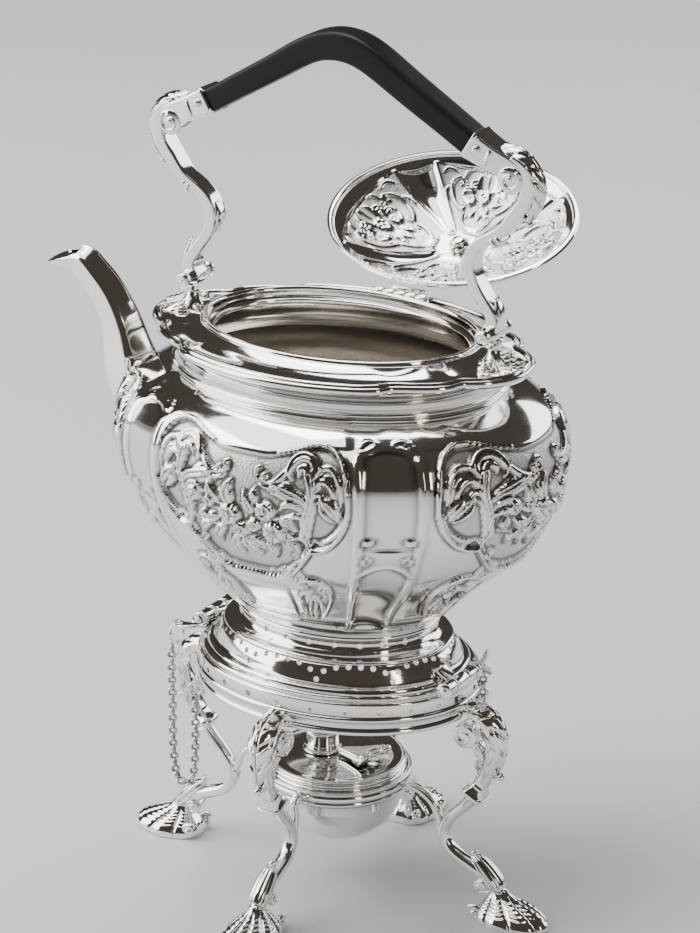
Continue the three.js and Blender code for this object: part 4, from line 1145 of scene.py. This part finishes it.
def build_lid():
    """The shallow dome, chased in four panels between plain flutes, its wire rim, knob and nut."""
    t = around(420)
    outer = spline([(0.952, 1.2), (0.93, 1.9), (0.88, 3.6), (0.8, 6.3), (0.66, 10.4), (0.5, 13.3),
                    (0.3, 15.6), (0.14, 16.5), (0.05, 16.8)], 86)
    f = outer[:, :1]
    turn = (t + TAU / 4) % (TAU / 2) - TAU / 4
    corner = math.radians(50)  # where the plain flutes lie between the four chased panels
    half = math.radians(11.5)
    narrow = (np.abs(turn) - corner) / half
    on_x = np.abs(turn) < corner
    side = (t % (TAU / 2)) - TAU / 4
    q = np.where(on_x, turn / (corner - half), side / (TAU / 4 - corner - half))
    q, narrow, radius = np.broadcast_arrays(q, narrow, 44 * (f - 0.05) / 0.9)
    wide = np.abs(narrow) >= 1
    relief = Relief(np.where(wide, np.abs(q) * LID_CANVAS, FAR), radius)
    chase_lid(relief)
    # a batwing border: each panel's outer end dips between the tips of the ridges
    edge = 42.6 - 2.6 * np.where(wide, 1 - q ** 2, (1 - narrow ** 2) * 0.8)
    near = smoothstep((edge - radius) / 0.9) * smoothstep((radius - 6) / 5)
    gore = np.where(wide, 1.5 * (1 - q ** 2), 1.9 * (1 - narrow ** 2)) * near
    crease = -0.8 * np.exp(-(((np.abs(narrow) - 1) / 0.12) ** 2)) * near
    shape = gore + crease
    ground = wide * smoothstep((edge - 0.8 - radius) / 0.9) * smoothstep((radius - 8) / 2)
    ground = ground * smoothstep((1 - np.abs(q)) / 0.06)
    fine = relief.h * ground

    def sheet(lift, depth):
        place = lid_rings(outer, t)
        place[..., 2] += lift + (shape + depth * fine) * smoothstep((f - 0.05) / 0.1)
        return place
    top, under = sheet(0, 0.8), sheet(-1.2, -0.9)[::-1]
    hollow = hollow_marks(fine, 0.4)
    matting = ground * (fine < 0.25)
    # painted shade and tarnish beside the chasing; the underside gets a little more under the matted ground
    marks = {"tarnish_and_shade": np.concatenate([hollow, np.clip(hollow + 0.15 * matting, 0, 1)[::-1]]),
             "matting": np.concatenate([matting, matting[::-1]])}
    loft("lid_dome_chased", "lid", lid_place(np.concatenate([top, under])), loop=True, material=CHASED,
         marks=marks, replaces=["lid_dome"])
    rim = closed_outline([(1.0, 0.2), (1.004, -0.6), (0.995, -1.5), (0.975, -1.7), (0.958, -1.3),
                          (0.956, 0.3), (0.962, 1.2), (0.98, 1.0)], 0.006, 3)
    loft("lid_rim_wire", "lid", lid_place(lid_rings(rim, t[::2])), loop=True, replaces=["lid_rim"])
    nut = filleted([(0.3, 15.4), (3.9, 15.0), (4.2, 14.2), (4.0, 13.4), (3.4, 13.0), (3.0, 12.6), (2.9, 11.8),
                    (2.2, 11.0), (0.5, 10.7)], 0.4, 4)
    nut_rings = turned(nut, 60)
    lobed = smoothstep((nut[:, 1:2] - 12.6) / 0.8)
    nut_rings[..., :2] *= (1 + 0.07 * np.cos(6 * around(60)) * lobed)[..., None]
    loft("lid_finial_button", "lid", lid_place(nut_rings - [0, HINGE[1], 0]), replaces=["lid_finial_nut"])
    knob = spline([(1.3, 15.6), (1.6, 16.8), (5.4, 17.2), (6.4, 17.9), (5.6, 18.6), (3.0, 19.3), (2.4, 20.4),
                   (3.1, 21.6), (5.6, 23.4), (6.4, 25.4), (5.6, 27.6), (3.6, 29.2), (2.0, 30.4), (1.7, 31),
                   (1.0, 31.4), (0.3, 31.5)], 70)
    rings = turned(knob, 72)
    q = around(72)
    bulb = smoothstep((knob[:, 1:2] - 21.5) / 1.5) * smoothstep((30.4 - knob[:, 1:2]) / 1.5)
    flute = 1 - 0.09 * np.abs(np.sin(4 * q)) * bulb
    rings[..., :2] *= flute[..., None]
    loft("lid_finial_bud", "lid", lid_place(rings - [0, HINGE[1], 0]), replaces=["lid_finial"])


def build_hinge():
    """Five knuckles on one pin; the second and fourth belong to the lid."""
    half, count, gap = 12, 5, 0.15
    step = 2 * half / count
    fixed, moving = [], []
    for k in range(count):
        a, b = -half + k * step + gap, -half + (k + 1) * step - gap
        (moving if k % 2 else fixed).append(rod(HINGE + [a, 0, 0], HINGE + [b, 0, 0], 2.1, 28, 0.45))
    fixed.append(slab([HINGE + [x, 0.2, -2.2] for x in (-half, half)], (0, 1, 0), 2.4, 0.8))
    left, right, inward = lid_place([[-7.2, -2.4, 2.4], [7.2, -2.4, 2.4], [0, -7.6, 2.5]])
    tilt = unit(inward - (left + right) / 2)
    moving.append(slab([left + tilt * 2.2, right + tilt * 2.2], tilt, 3.0, 0.7))
    merged("lid_hinge_barrel_fixed", "kettle", fixed, replaces=["lid_hinge_leaf_kettle"])
    merged("lid_hinge_barrel_moving", "lid", moving, replaces=["lid_hinge_leaf"])


def slab(ends, wide, half_width, thickness):
    """A thin plate between two points, with rounded edges."""
    a, b = ends
    wide, along = unit(wide), unit(b - a)
    c, s = np.cos(around(24)), np.sin(around(24))
    shape = np.outer(np.sign(c) * np.abs(c) ** 0.25 * half_width, wide)
    shape += np.outer(np.sign(s) * np.abs(s) ** 0.4 * thickness / 2, np.cross(along, wide))
    rings = [a + along * 0.1 + shape * 0.96, a + along * 0.3 + shape, b - along * 0.3 + shape,
             b - along * 0.1 + shape * 0.96]
    return closed_rings(np.array(rings))


# ---------------------------------------------------------------- stand
LEG = [(-1.6, 88.6, 1.6, 4.2), (2.6, 87.2, 2.2, 4.6), (7.6, 85.2, 2.6, 4.8), (11.8, 81, 2.9, 4.9),
       (13.2, 75.4, 3.1, 4.8), (12.3, 68.4, 3.0, 4.3), (9.8, 61.2, 2.7, 3.7), (6.8, 55.4, 2.9, 3.5),
       (4.8, 52, 3.4, 3.9)]
ROD = [(4.6, 51, 3.0, 3.4), (0.6, 46, 2.7, 2.9), (-5.6, 39.4, 2.5, 2.8), (-8.8, 32.6, 2.5, 2.8),
       (-7.6, 27.0, 2.6, 2.9), (-3.2, 23.2, 2.6, 3.0), (3.2, 20.4, 2.7, 3.1), (9.6, 17.2, 2.8, 3.2),
       (15.0, 13.0, 2.6, 3.0)]
# each leg's name, the way it faces in degrees, and how far the ring's edge is from the axis there
LEGS = (("rear", 0, 58.0), ("right", 90, 44.4), ("front", 180, 58.0), ("left", 270, 44.4))


def place_leg(parts, degrees, axis):
    """Moves parts drawn along +x, from a ring edge at x = 0, to their leg."""
    turn = np.array(Matrix.Rotation(math.radians(degrees), 3, "Z"))
    return [((v + [axis, 0, 0]) @ turn.T, f) for v, f in parts]


def build_leg(name, degrees, axis):
    """A leg from the ring down: leafy knee, volute, cuff, slender rod and calyx; then its shell foot."""
    parts = [bar(LEG, 110, 30, 0.5)]
    knee = [(-0.4, 89.6), (4.4, 88.6), (10, 86.6), (14.2, 82.2), (15.7, 75.6), (14.8, 67.6), (12.4, 60.6)]
    parts.append(leaf(flat(knee), away_from(2, 72, knee, 90), 5.9, 2.3, lobes=5, steps=90, across=33,
                      wrap=0.42, root=0.2, deep=0.8))
    for side in (-1, 1):
        flank = [(8.2, side * 4.6, 80.4), (11.0, side * 4.9, 77.6), (12.4, side * 4.8, 72),
                 (11.0, side * 4.2, 64), (8.8, side * 3.7, 58)]
        parts.append(leaf(flank, (0, side, 0), 1.5, 0.6, lobes=4, deep=0.7))
    # the volute inside the knee: a drum with a spiral on each face, and the point under it
    parts.append(rod([1.2, -4.5, 76.8], [1.2, 4.5, 76.8], 5.2, 48, 0.5))
    for side in (-1, 1):
        parts += face_spiral((1.2, 76.8), 4.6, 0.5, 1, side * 4.45, side, 1.05, 1.35)
    point = [(5.2, 72.4, 2.0, 4.0), (7.4, 69.4, 1.6, 3.6), (7.4, 66.4, 1.0, 2.8), (5.6, 64.6, 0.5, 1.8)]
    parts.append(bar(point, 30, 18, 0.35))
    parts.append(ball([5.2, 0, 64.6], 1.2, (1, 1.6, 1)))
    # a ball on a short stalk at the back of the shin
    parts.append(bar([(12.4, 62.6, 1.3, 2.2), (14.2, 61.8, 1.0, 1.6), (15.2, 61.3, 0.7, 1.2)], 12, 14, 0.2))
    parts.append(ball([15.4, 0, 61.2], 1.7))
    # the flared stepped cuff over the rod
    cuff = [(7.4, 56.6, 2.9, 3.5), (6.6, 55.2, 3.1, 3.7), (5.9, 53.9, 3.6, 4.2), (5.3, 52.9, 4.2, 4.7),
            (5.0, 52.4, 4.7, 5.1), (4.8, 52.0, 5.0, 5.3), (4.3, 51.0, 5.0, 5.3), (4.1, 50.6, 4.6, 4.9),
            (3.7, 49.9, 3.7, 4.1), (3.4, 49.4, 3.1, 3.5)]
    parts.append(bar(cuff, 40, 36, 0.5, straight=True))
    # the slender rod, then a reeded calyx over the ankle and a volute under it
    parts.append(bar(ROD, 120, 22, 0.15))
    calyx = [(4.6, 24.8, 1.2, 2.0), (6.8, 22.8, 2.5, 3.2), (9.6, 20.0, 3.4, 3.9), (12.4, 17.0, 3.8, 4.2),
             (14.8, 14.4, 3.5, 3.9), (16.2, 12.6, 2.7, 3.2)]
    parts.append(bar(calyx, 60, 72, 0.1, relief=lambda s, q: -0.09 * np.abs(np.sin(5 * q)) ** 6 * (s > 0.05)))
    parts.append(ball([4.6, 0, 25.8], 1.5))
    parts.append(ball([16.2, 0, 12.4], 2.9, (1, 1.1, 0.5)))
    parts.append(rod([9.0, -3.7, 13.2], [9.0, 3.7, 13.2], 2.9, 32, 0.5))
    for side in (-1, 1):
        parts += face_spiral((9.0, 13.2), 2.4, 0.6, -1, side * 3.65, side, 0.6, 1.1)
    merged(f"leg_cast_{name}", "stand", place_leg(parts, degrees, axis), replaces=[f"leg_{name}"])
    merged(f"foot_shell_{name}", "stand", place_leg(shell_foot(), degrees, axis), replaces=[f"foot_{name}"])


def shell_foot():
    """A fan of seven ribs from the ankle, each rib crossed by fine crescents, with a curl at each side."""
    t = around(336)
    phi = (t + math.pi) % TAU - math.pi
    fan = smoothstep((math.radians(128) - np.abs(phi)) / 0.35)
    rib = np.abs(np.cos(phi * 7 / math.radians(250) * math.pi))
    groove = 1 - rib ** 0.35
    reach = 7.8 + 15.4 * ((1 + np.cos(phi)) / 2) ** 0.95
    rings = []
    for f, z in spline([(0.95, 0.0), (0.99, 0.3), (1.0, 1.0), (0.985, 2.2), (0.93, 3.8), (0.83, 5.4),
                        (0.69, 7.0), (0.54, 8.4), (0.4, 9.8), (0.29, 11.4), (0.22, 13.2)], 90):
        depth = fan * smoothstep((f - 0.2) / 0.3)
        r = reach * (f - 0.1 * f * groove * depth)
        ripple = 0.12 * np.cos(f * 9 * TAU + 5.0 * (1 - rib)) * rib ** 0.5
        ripple = ripple * depth * smoothstep((z - 2.0) / 1.5)
        x = 14.4 + r * np.cos(phi)
        y = 0.63 * r * np.sin(phi)
        height = np.maximum(z - 1.1 * groove * depth * smoothstep(z / 4) + ripple, 0)
        rings.append(np.stack([x, y, height], -1))
    parts = [closed_rings(np.array(rings))]
    for side in (-1, 1):
        path = flat(spiral((8.6, 3.7), 3.0, 2.6, -1, 1.3, 40, 0.14), side * 6.6)
        parts.append(wire(path, np.linspace(1.1, 0.8, len(path)), 12))
        parts.append(ball([8.6, side * 7.0, 3.7], 1.4))
    return parts


def build_struts():
    """A scroll from each leg's rod to the ring that holds the burner."""
    holder_edge = 31.4
    for name, degrees, axis in LEGS:
        end = holder_edge - axis
        path = [(-9.4, 31, 1.5, 1.9), (-11.4, 36.4, 1.5, 1.9)]
        if axis > 50:  # a leg at an end of the oval, farther out
            path += [(-13.4, 41.4, 1.5, 1.9), (-18, 45.6, 1.5, 1.9), (-23, 47.4, 1.5, 1.9),
                     (end + 0.4, 46.8, 1.5, 1.9)]
        else:
            path += [(-11.8, 40.4, 1.4, 1.9), (end + 1.6, 44.4, 1.3, 1.9), (end + 0.6, 46.4, 1.2, 1.9)]
        parts = [bar(path, 50, 16, 0.2), ball([end - 0.4, 0, 46.6], 1.7, (0.8, 1.3, 1))]
        parts.append(ball([-10.6, 0, 32.4], 2.3, (0.8, 1, 1.6)))
        merged(f"strut_scroll_{name}", "stand", place_leg(parts, degrees, axis), replaces=[f"strut_{name}"])


def build_holder():
    """The ring that the burner drops into."""
    profile = closed_outline([(27.9, 43.6), (29.6, 43.6), (30, 44.4), (29.4, 45.2), (30, 46), (30, 47.2),
                              (29.4, 48), (29.8, 48.8), (29.4, 49.4), (27.9, 49.4)], 0.35, 3)
    loft("burner_holder_ring", "stand", turned(profile, 120), loop=True, replaces=["burner_holder"])


# ---------------------------------------------------------------- pins and chains
PIN_Z = 101.0  # height of both pins
BARRELS = (("front", -58.0, 2.0), ("rear", 58.0, -8.0))  # x of each pin, and y of the middle of its barrel


def build_knuckles():
    """Two knuckles on the stand and one on the kettle's foot at each end, on webs of their own."""
    for end, x, y in BARRELS:
        sign = np.sign(x)
        for side, way in (("left", -1), ("right", 1)):
            a = y + way * 4.15
            b = a + way * 7.2
            profile = [(0, 2.9), (0.3, 3.3), (0.9, 3.35), (1.2, 3.0), (1.5, 3.1), (6.0, 3.1), (6.3, 3.35),
                       (6.9, 3.3), (7.2, 2.9)]
            parts = [barrel(x, a, way, profile)]
            web = [(x + sign * 0.2, 97.0, 1.2, 3.4), (x + sign * 0.2, 98.2, 1.2, 3.4), (x, 99.4, 1.6, 3.4)]
            parts.append(bar(web, 10, 20, 0.5, plane_y=(a + b) / 2))
            merged(f"knuckle_{end}_{side}", "stand", parts, replaces=[f"{end}_knuckle_{side}"])
        profile = [(0, 2.9), (0.3, 3.2), (7.2, 3.2), (7.5, 2.9)]
        parts = [barrel(x, y - 3.75, 1, profile)]
        arm = [(x - sign * 2.0, 101.4, 1.7, 3.3), (x - sign * 5.4, 102.6, 1.9, 3.3),
               (x - sign * 8.2, 104.2, 2.2, 3.3)]
        parts.append(bar(arm, 16, 20, 0.5, plane_y=y))
        merged(f"lug_knuckle_{end}", "kettle", parts, replaces=[f"{end}_lug"])


def barrel(x, start, way, profile):
    """A knuckle on a pin's axis, from its start in y along the way given."""
    rounded = [(start + way * y, r) for y, r in filleted(profile, 0.12, 3)]
    return turned_y(rounded, x, PIN_Z, 32)


def pin_frame(end):
    """Where a pin's own axes are: its head plate's middle, the way out, and the turn of its thumb piece."""
    if end == "front":
        return np.array([-58.0, -9.65, PIN_Z]), np.diag([-1.0, -1.0, 1.0]), 0.12
    return np.array([58.0, 3.65, PIN_Z]), np.eye(3), -1.1


def build_pins():
    """A turned pin and its crescent thumb piece at each end."""
    for end in ("front", "rear"):
        origin, frame_axes, turn = pin_frame(end)
        twist = np.array(Matrix.Rotation(turn, 3, "Y"))

        def put(points):
            return points @ frame_axes.T + origin
        head = [(-0.2, 1.6), (0, 3.3), (0.3, 3.6), (1.0, 3.65), (1.4, 3.3), (1.5, 2.2), (1.8, 1.9),
                (2.2, 2.1), (2.7, 2.1), (3.1, 1.7), (3.6, 1.4), (5.0, 1.3)]
        shaft = rod([0, -23.8, 0], [0, 0.2, 0], 1.5, 20, 0.5)
        turned_parts = [turned_y(filleted(head, 0.15, 3), 0, 0, 32), shaft]
        merged(f"{end}_pin_turned", f"pin_{end}", [(put(v), f) for v, f in turned_parts],
               replaces=[f"{end}_pin"])
        verts, faces = thumb_plate()
        merged(f"{end}_thumb_crescent", f"pin_{end}", [(put(verts @ twist.T), faces)],
               replaces=[f"{end}_pin_thumb"])


def thumb_plate():
    """A crescent plate with softened edges, in the pin's own frame: its hollow side faces the pin."""
    outline = closed_outline([(-4.4, 3.3), (-1.8, 4.4), (1.9, 4.9), (6.2, 4.3), (9.9, 2.6), (9.3, 5.2),
                              (7.2, 8.0), (4.4, 9.4), (1.9, 9.9), (-0.6, 9.2), (-2.8, 7.6), (-4.0, 5.4)],
                             1.2, 6)
    middle = np.array([1.9, 6.8])
    rings = []
    for grow, z in [(0.2, -1.0), (0.55, -0.95), (0.8, -0.8), (0.97, -0.5), (1.0, -0.2), (1.0, 0.2),
                    (0.97, 0.5), (0.8, 0.8), (0.55, 0.95), (0.2, 1.0)]:
        p = middle + (outline - middle) * grow
        rings.append(np.column_stack([p, np.full(len(p), z)]))
    return closed_rings(np.array(rings))


def link(middle, along, across, length, width, gauge):
    """One oval chain link, and how shaded its wire is: most inside the loop."""
    along = unit(along)
    across = unit(across - (across @ along) * along)
    q = around(22)
    path = middle + np.outer(np.cos(q) * (length / 2 - gauge), along)
    path = path + np.outer(np.sin(q) * (width / 2 - gauge), across)
    rings = tube_along(path, gauge, 8, closed=True)
    inward = np.linalg.norm(path - middle, axis=1)[:, None] - np.linalg.norm(rings - middle, axis=2)
    return closed_rings(rings, loop=True), np.clip(0.72 + 0.5 * inward / gauge, 0, 1).ravel()


def chain(path, pitch=2.75, length=4.3, width=4.1, gauge=0.66, start_turn=0):
    """Links along a curve, each a quarter turn from the last, and their shading."""
    points = spline3(path, 300)
    run = run_of(points)
    count = int(round((run[-1] - length) / pitch)) + 1
    pitch = (run[-1] - length) / max(1, count - 1)
    links = []
    for k in range(count):
        at = length / 2 + k * pitch
        before, middle, after = (np.array([np.interp(at + d, run, column) for column in points.T])
                                 for d in (-0.5, 0, 0.5))
        across = np.array([0.95, 0.3, 0]) if (k + start_turn) % 2 else np.array([-0.3, 0.95, 0])
        links.append(link(middle, after - before, across, length, width, gauge))
    return [part for part, _ in links], np.concatenate([shade for _, shade in links])


def ring_plane(end):
    """Two directions in the plane of a pin's ring: the way it droops, and through the thumb plate's hole."""
    _, frame_axes, turn = pin_frame(end)
    droop = np.array([0, 0.92, -0.4]) if end == "front" else np.array([-0.32, 0.71, -0.63])
    twist = np.array(Matrix.Rotation(turn, 3, "Y"))
    through = twist @ np.array([0, 0, 1.0])
    droop = unit(droop)
    return frame_axes @ droop, frame_axes @ unit(through - (through @ droop) * droop)


RING_RADIUS, EYE_RADIUS = 4.2, 2.7  # to the middle of the wire


def hoop(middle, radius, across, along, gauge, sides):
    """A closed ring of round wire, in the plane of two directions."""
    q = around(48)
    path = middle + radius * (np.outer(np.cos(q), across) + np.outer(np.sin(q), along))
    return wire(path, gauge, sides, closed=True)


def build_chains():
    """At each end a ring on the thumb piece, an eye under the stand, and a chain slung between them."""
    for end, bottom in (("front", 35.5), ("rear", 40.0)):
        ring_middle = centre_of(f"{end}_pin_ring")
        eye_middle = centre_of(f"{end}_chain_eye")
        ring_low, ring_high = (np.array(c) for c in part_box(f"{end}_pin_ring"))
        half_height = (ring_high - ring_low)[2] / 2 / MM
        droop, through = ring_plane(end)
        merged(f"{end}_ring_wire", f"pin_{end}", [hoop(ring_middle, RING_RADIUS, droop, through, 0.72, 12)],
               replaces=[f"{end}_pin_ring"])
        eye = hoop(eye_middle, EYE_RADIUS, [0.89, 0.45, 0], [0, 0, 1], 0.66, 10)
        staple = rod(eye_middle + [0, 0, 2.4], eye_middle + [0, 0, 4.6], 0.7, 12, 0.2)
        merged(f"{end}_eye_wire", "stand", [eye, staple], replaces=[f"{end}_chain_eye"])
        lowest = ring_middle + RING_RADIUS * droop
        if lowest[2] > ring_middle[2] - 1:  # the ring lies level
            lowest = ring_middle - [0, 0, half_height - 0.7]
        top = np.array([lowest[0], lowest[1], ring_middle[2] - half_height + 1.6])
        other = eye_middle + [0, 0, -1.6]
        middle = (top + other) / 2
        low_point = np.array([middle[0], middle[1], bottom + 0.8])
        strands = []
        for start in (top, other):
            here, there = start * [1, 1, 0], low_point * [1, 1, 0]
            heights = ((0.03, start[2] * 0.5 + bottom * 0.5), (0.16, bottom + 9), (0.5, bottom + 2.4))
            hanging = [here * (1 - f) + there * f + [0, 0, z] for f, z in heights]
            strands.append([start, *hanging, low_point])
        links, shade = chain(strands[0])
        strand = merged(f"{end}_chain_links_pin", f"pin_{end}", links, replaces=[f"{end}_chain_pin_side"],
                        ride=False, marks={"tarnish_and_shade": shade})
        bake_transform(strand)
        links, shade = chain(strands[1], start_turn=1)
        merged(f"{end}_chain_links_stand", "stand", links, replaces=[f"{end}_chain_stand_side"],
               marks={"tarnish_and_shade": shade})


# ---------------------------------------------------------------- burner
def build_burner():
    """The reeded lamp, its turned wick tube, the braided wick, and the flap beside it."""
    reeds = []
    for k in range(5):
        z = 42.2 + 2.05 * k
        reeds += [(26.9, z), (27.4, z + 0.5), (27.5, z + 1.0), (27.2, z + 1.6), (26.6, z + 1.85)]
    font = [(2, 21.4), (9, 21), (13, 22), (17, 23.8), (22.4, 28.6), (25, 33.4), (26.3, 38), (26.6, 41.8),
            *reeds, (27.2, 52.6), (26.9, 53.2), (26, 53.4), (24.6, 53.0), (22, 52.4), (17, 52.9), (10, 53.5),
            (2, 53.7)]
    loft("burner_font_reeded", "burner", turned(filleted(font, 0.5, 3), 120), replaces=["burner_font"])
    x, y, _ = centre_of("wick_tube")
    tube = [(7.6, 53.9), (8.0, 54.3), (7.6, 54.9), (6.9, 55.4), (6.5, 56.4), (6.4, 60.8), (6.7, 61.2),
            (7.1, 61.7), (6.7, 62.3), (6.4, 62.7), (6.4, 63.6), (6.9, 64.1), (6.4, 64.7), (6.1, 65.2),
            (6.1, 67.6), (5.8, 68), (5.1, 68), (4.9, 67.4), (4.9, 54)]
    loft("wick_tube_turned", "burner", turned(closed_outline(tube, 0.3, 3), 64, (x, y)), loop=True,
         replaces=["wick_tube"])
    cord = spline([(0.4, 69.8), (1.8, 69.9), (3.4, 69.6), (4.3, 68.9), (4.55, 67.6), (4.55, 55)], 50)[::-1]
    rings = turned(cord, 72, (x, y))
    twist = np.sin(around(72)[None, :] * 9 + cord[:, 1:2] * 2.2)
    rings[..., :2] += 0.12 * twist[..., None] * (rings[..., :2] - [x, y]) / 4.5
    loft("wick_braided", "burner", rings, material=WICK, slot="wick", replaces=["wick"])
    build_flap()


def build_flap():
    """The filling hole's seat and the plate that closes it, hinged together."""
    origin = np.array([10.2, 2.0, 56.2])
    turn = np.array(Matrix.Rotation(math.radians(-16), 3, "Z"))

    def put(part):
        return part[0] @ turn.T + origin, part[1]
    seat = [plate_part(-6.2, 6.0, 7.6, -1.2, 0.1), plate_part(-3, 3, 3.4, -2.2, -1.2)]
    for a, b in ((-7.6, -3.2), (3.2, 7.6)):
        seat.append(rod([7.4, a, 1.2], [7.4, b, 1.2], 1.35, 22, 0.25))
        seat.append(plate_part(5.0, 7.6, (b - a) / 2, -0.9, 0.6, (a + b) / 2))
    merged("burner_flap_seat", "burner", [put(p) for p in seat], replaces=["burner_flap_frame"])
    plates = [plate_part(-6.2, 5.6, 7.6, 0.4, 1.6), rod([7.4, -2.9, 1.2], [7.4, 2.9, 1.2], 1.35, 22, 0.25),
              plate_part(4.8, 7.6, 2.8, 0.9, 1.9)]
    merged("burner_flap_plate", "flap", [put(p) for p in plates], replaces=["burner_flap"])


def plate_part(x0, x1, half_y, z0, z1, mid_y=0.0):
    """A flat plate with softened edges."""
    q = around(40)
    c, s = np.cos(q), np.sin(q)
    mid_x, half_x = (x0 + x1) / 2, (x1 - x0) / 2
    rings = []
    soft = min(0.3, (z1 - z0) * 0.3)
    for inset, z in [(soft, z0), (soft * 0.3, z0 + soft * 0.3), (0, z0 + soft), (0, z1 - soft),
                     (soft * 0.3, z1 - soft * 0.3), (soft, z1)]:
        px = mid_x + np.sign(c) * np.abs(c) ** 0.12 * (half_x - inset)
        py = mid_y + np.sign(s) * np.abs(s) ** 0.12 * (half_y - inset)
        rings.append(np.column_stack([px, py, np.full(len(q), z)]))
    return closed_rings(np.array(rings))


build_body()
build_neck()
build_collar()
build_mouth()
build_foot()
build_stand_ring()
build_handle()
build_spout()
build_lid()
build_hinge()
for leg_name, leg_turn, leg_axis in LEGS:
    build_leg(leg_name, leg_turn, leg_axis)
build_struts()
build_holder()
build_knuckles()
build_pins()
build_chains()
build_burner()
for plain in ("lid_hinge_pin", "burner_flap_pin"):
    for material_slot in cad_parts[plain].material_slots:
        material_slot.material = SILVER


# ---------------------------------------------------------------- stage, light, camera
def build_stage():
    """A wide pale floor, with nothing standing behind the piece."""
    floor = bpy.data.meshes.new("floor")
    rim = [(30 * math.cos(a), 30 * math.sin(a), 0) for a in around(96)]
    floor.from_pydata(rim, [], [tuple(range(len(rim)))])
    material, tree, shader = principled("floor_paper")
    place = node(tree, "ShaderNodeTexCoord").outputs["Object"]
    cloud = node(tree, "ShaderNodeTexNoise", {"Vector": place, "Scale": 3.0}).outputs["Fac"]
    two_tone(tree, shader, cloud, (0.60, 0.61, 0.63), (0.66, 0.67, 0.69))
    shader.inputs["Roughness"].default_value = 0.6
    floor.materials.append(material)
    stage = bpy.data.objects.new("floor", floor)
    bpy.context.scene.collection.objects.link(stage)


def area(name, place, target, size, power, color):
    """A rectangular light, turned to its target."""
    data = bpy.data.lights.new(name, "AREA")
    data.shape = "RECTANGLE"
    data.size, data.size_y = size
    data.energy = power
    data.color = color
    light = bpy.data.objects.new(name, data)
    light.location = place
    light.rotation_euler = (Vector(target) - Vector(place)).to_track_quat("-Z", "Y").to_euler()
    bpy.context.scene.collection.objects.link(light)


def build_light():
    """A large soft light from the left, others above and behind, and a wide dim sky."""
    world = bpy.data.worlds.new("studio")
    bpy.context.scene.world = world
    world.use_nodes = True
    background = world.node_tree.nodes["Background"]
    background.inputs["Color"].default_value = (0.20, 0.17, 0.15, 1)
    background.inputs["Strength"].default_value = 0.3
    area("key", (-1.7, -1.0, 1.0), (0, 0, 0.16), (1.8, 1.9), 56, (1.0, 0.99, 0.975))
    area("top", (-0.5, 0.4, 2.0), (0, 0, 0.1), (1.4, 1.3), 36, (0.97, 0.98, 1.0))
    area("back", (0.9, 2.2, 1.0), (0, 0, 0.2), (2.2, 1.0), 26, (0.92, 0.95, 1.0))
    area("side", (1.7, -0.9, 0.7), (0, 0, 0.15), (0.25, 0.8), 4, (1.0, 0.9, 0.78))
    sun = bpy.data.objects.new("sky", bpy.data.lights.new("sky", "SUN"))
    sun.data.energy = 1.6
    sun.data.angle = math.radians(50)
    sun.data.color = (0.97, 0.98, 1.0)
    sun.rotation_euler = (math.radians(18), math.radians(-22), 0)
    bpy.context.scene.collection.objects.link(sun)


def build_camera():
    """A long lens, a little above the piece and to the right of its long side."""
    place = np.array([647.1, -1095.1, 663.1]) * MM + AXIS
    turn, down, roll = math.radians(30.4), math.radians(21.0), math.radians(0.5)
    ahead = Vector((-math.sin(turn) * math.cos(down), math.cos(turn) * math.cos(down), -math.sin(down)))
    right = Vector((math.cos(turn), math.sin(turn), 0))
    up = right.cross(ahead)
    right, up = right * math.cos(roll) + up * math.sin(roll), up * math.cos(roll) - right * math.sin(roll)
    camera = bpy.data.objects.new("camera", bpy.data.cameras.new("camera"))
    camera.data.sensor_width, camera.data.lens = 36, 136.8
    camera.matrix_world = Matrix.Translation(place) @ Matrix((right, up, -ahead)).transposed().to_4x4()
    bpy.context.scene.collection.objects.link(camera)
    bpy.context.scene.camera = camera


build_stage()
build_light()
build_camera()
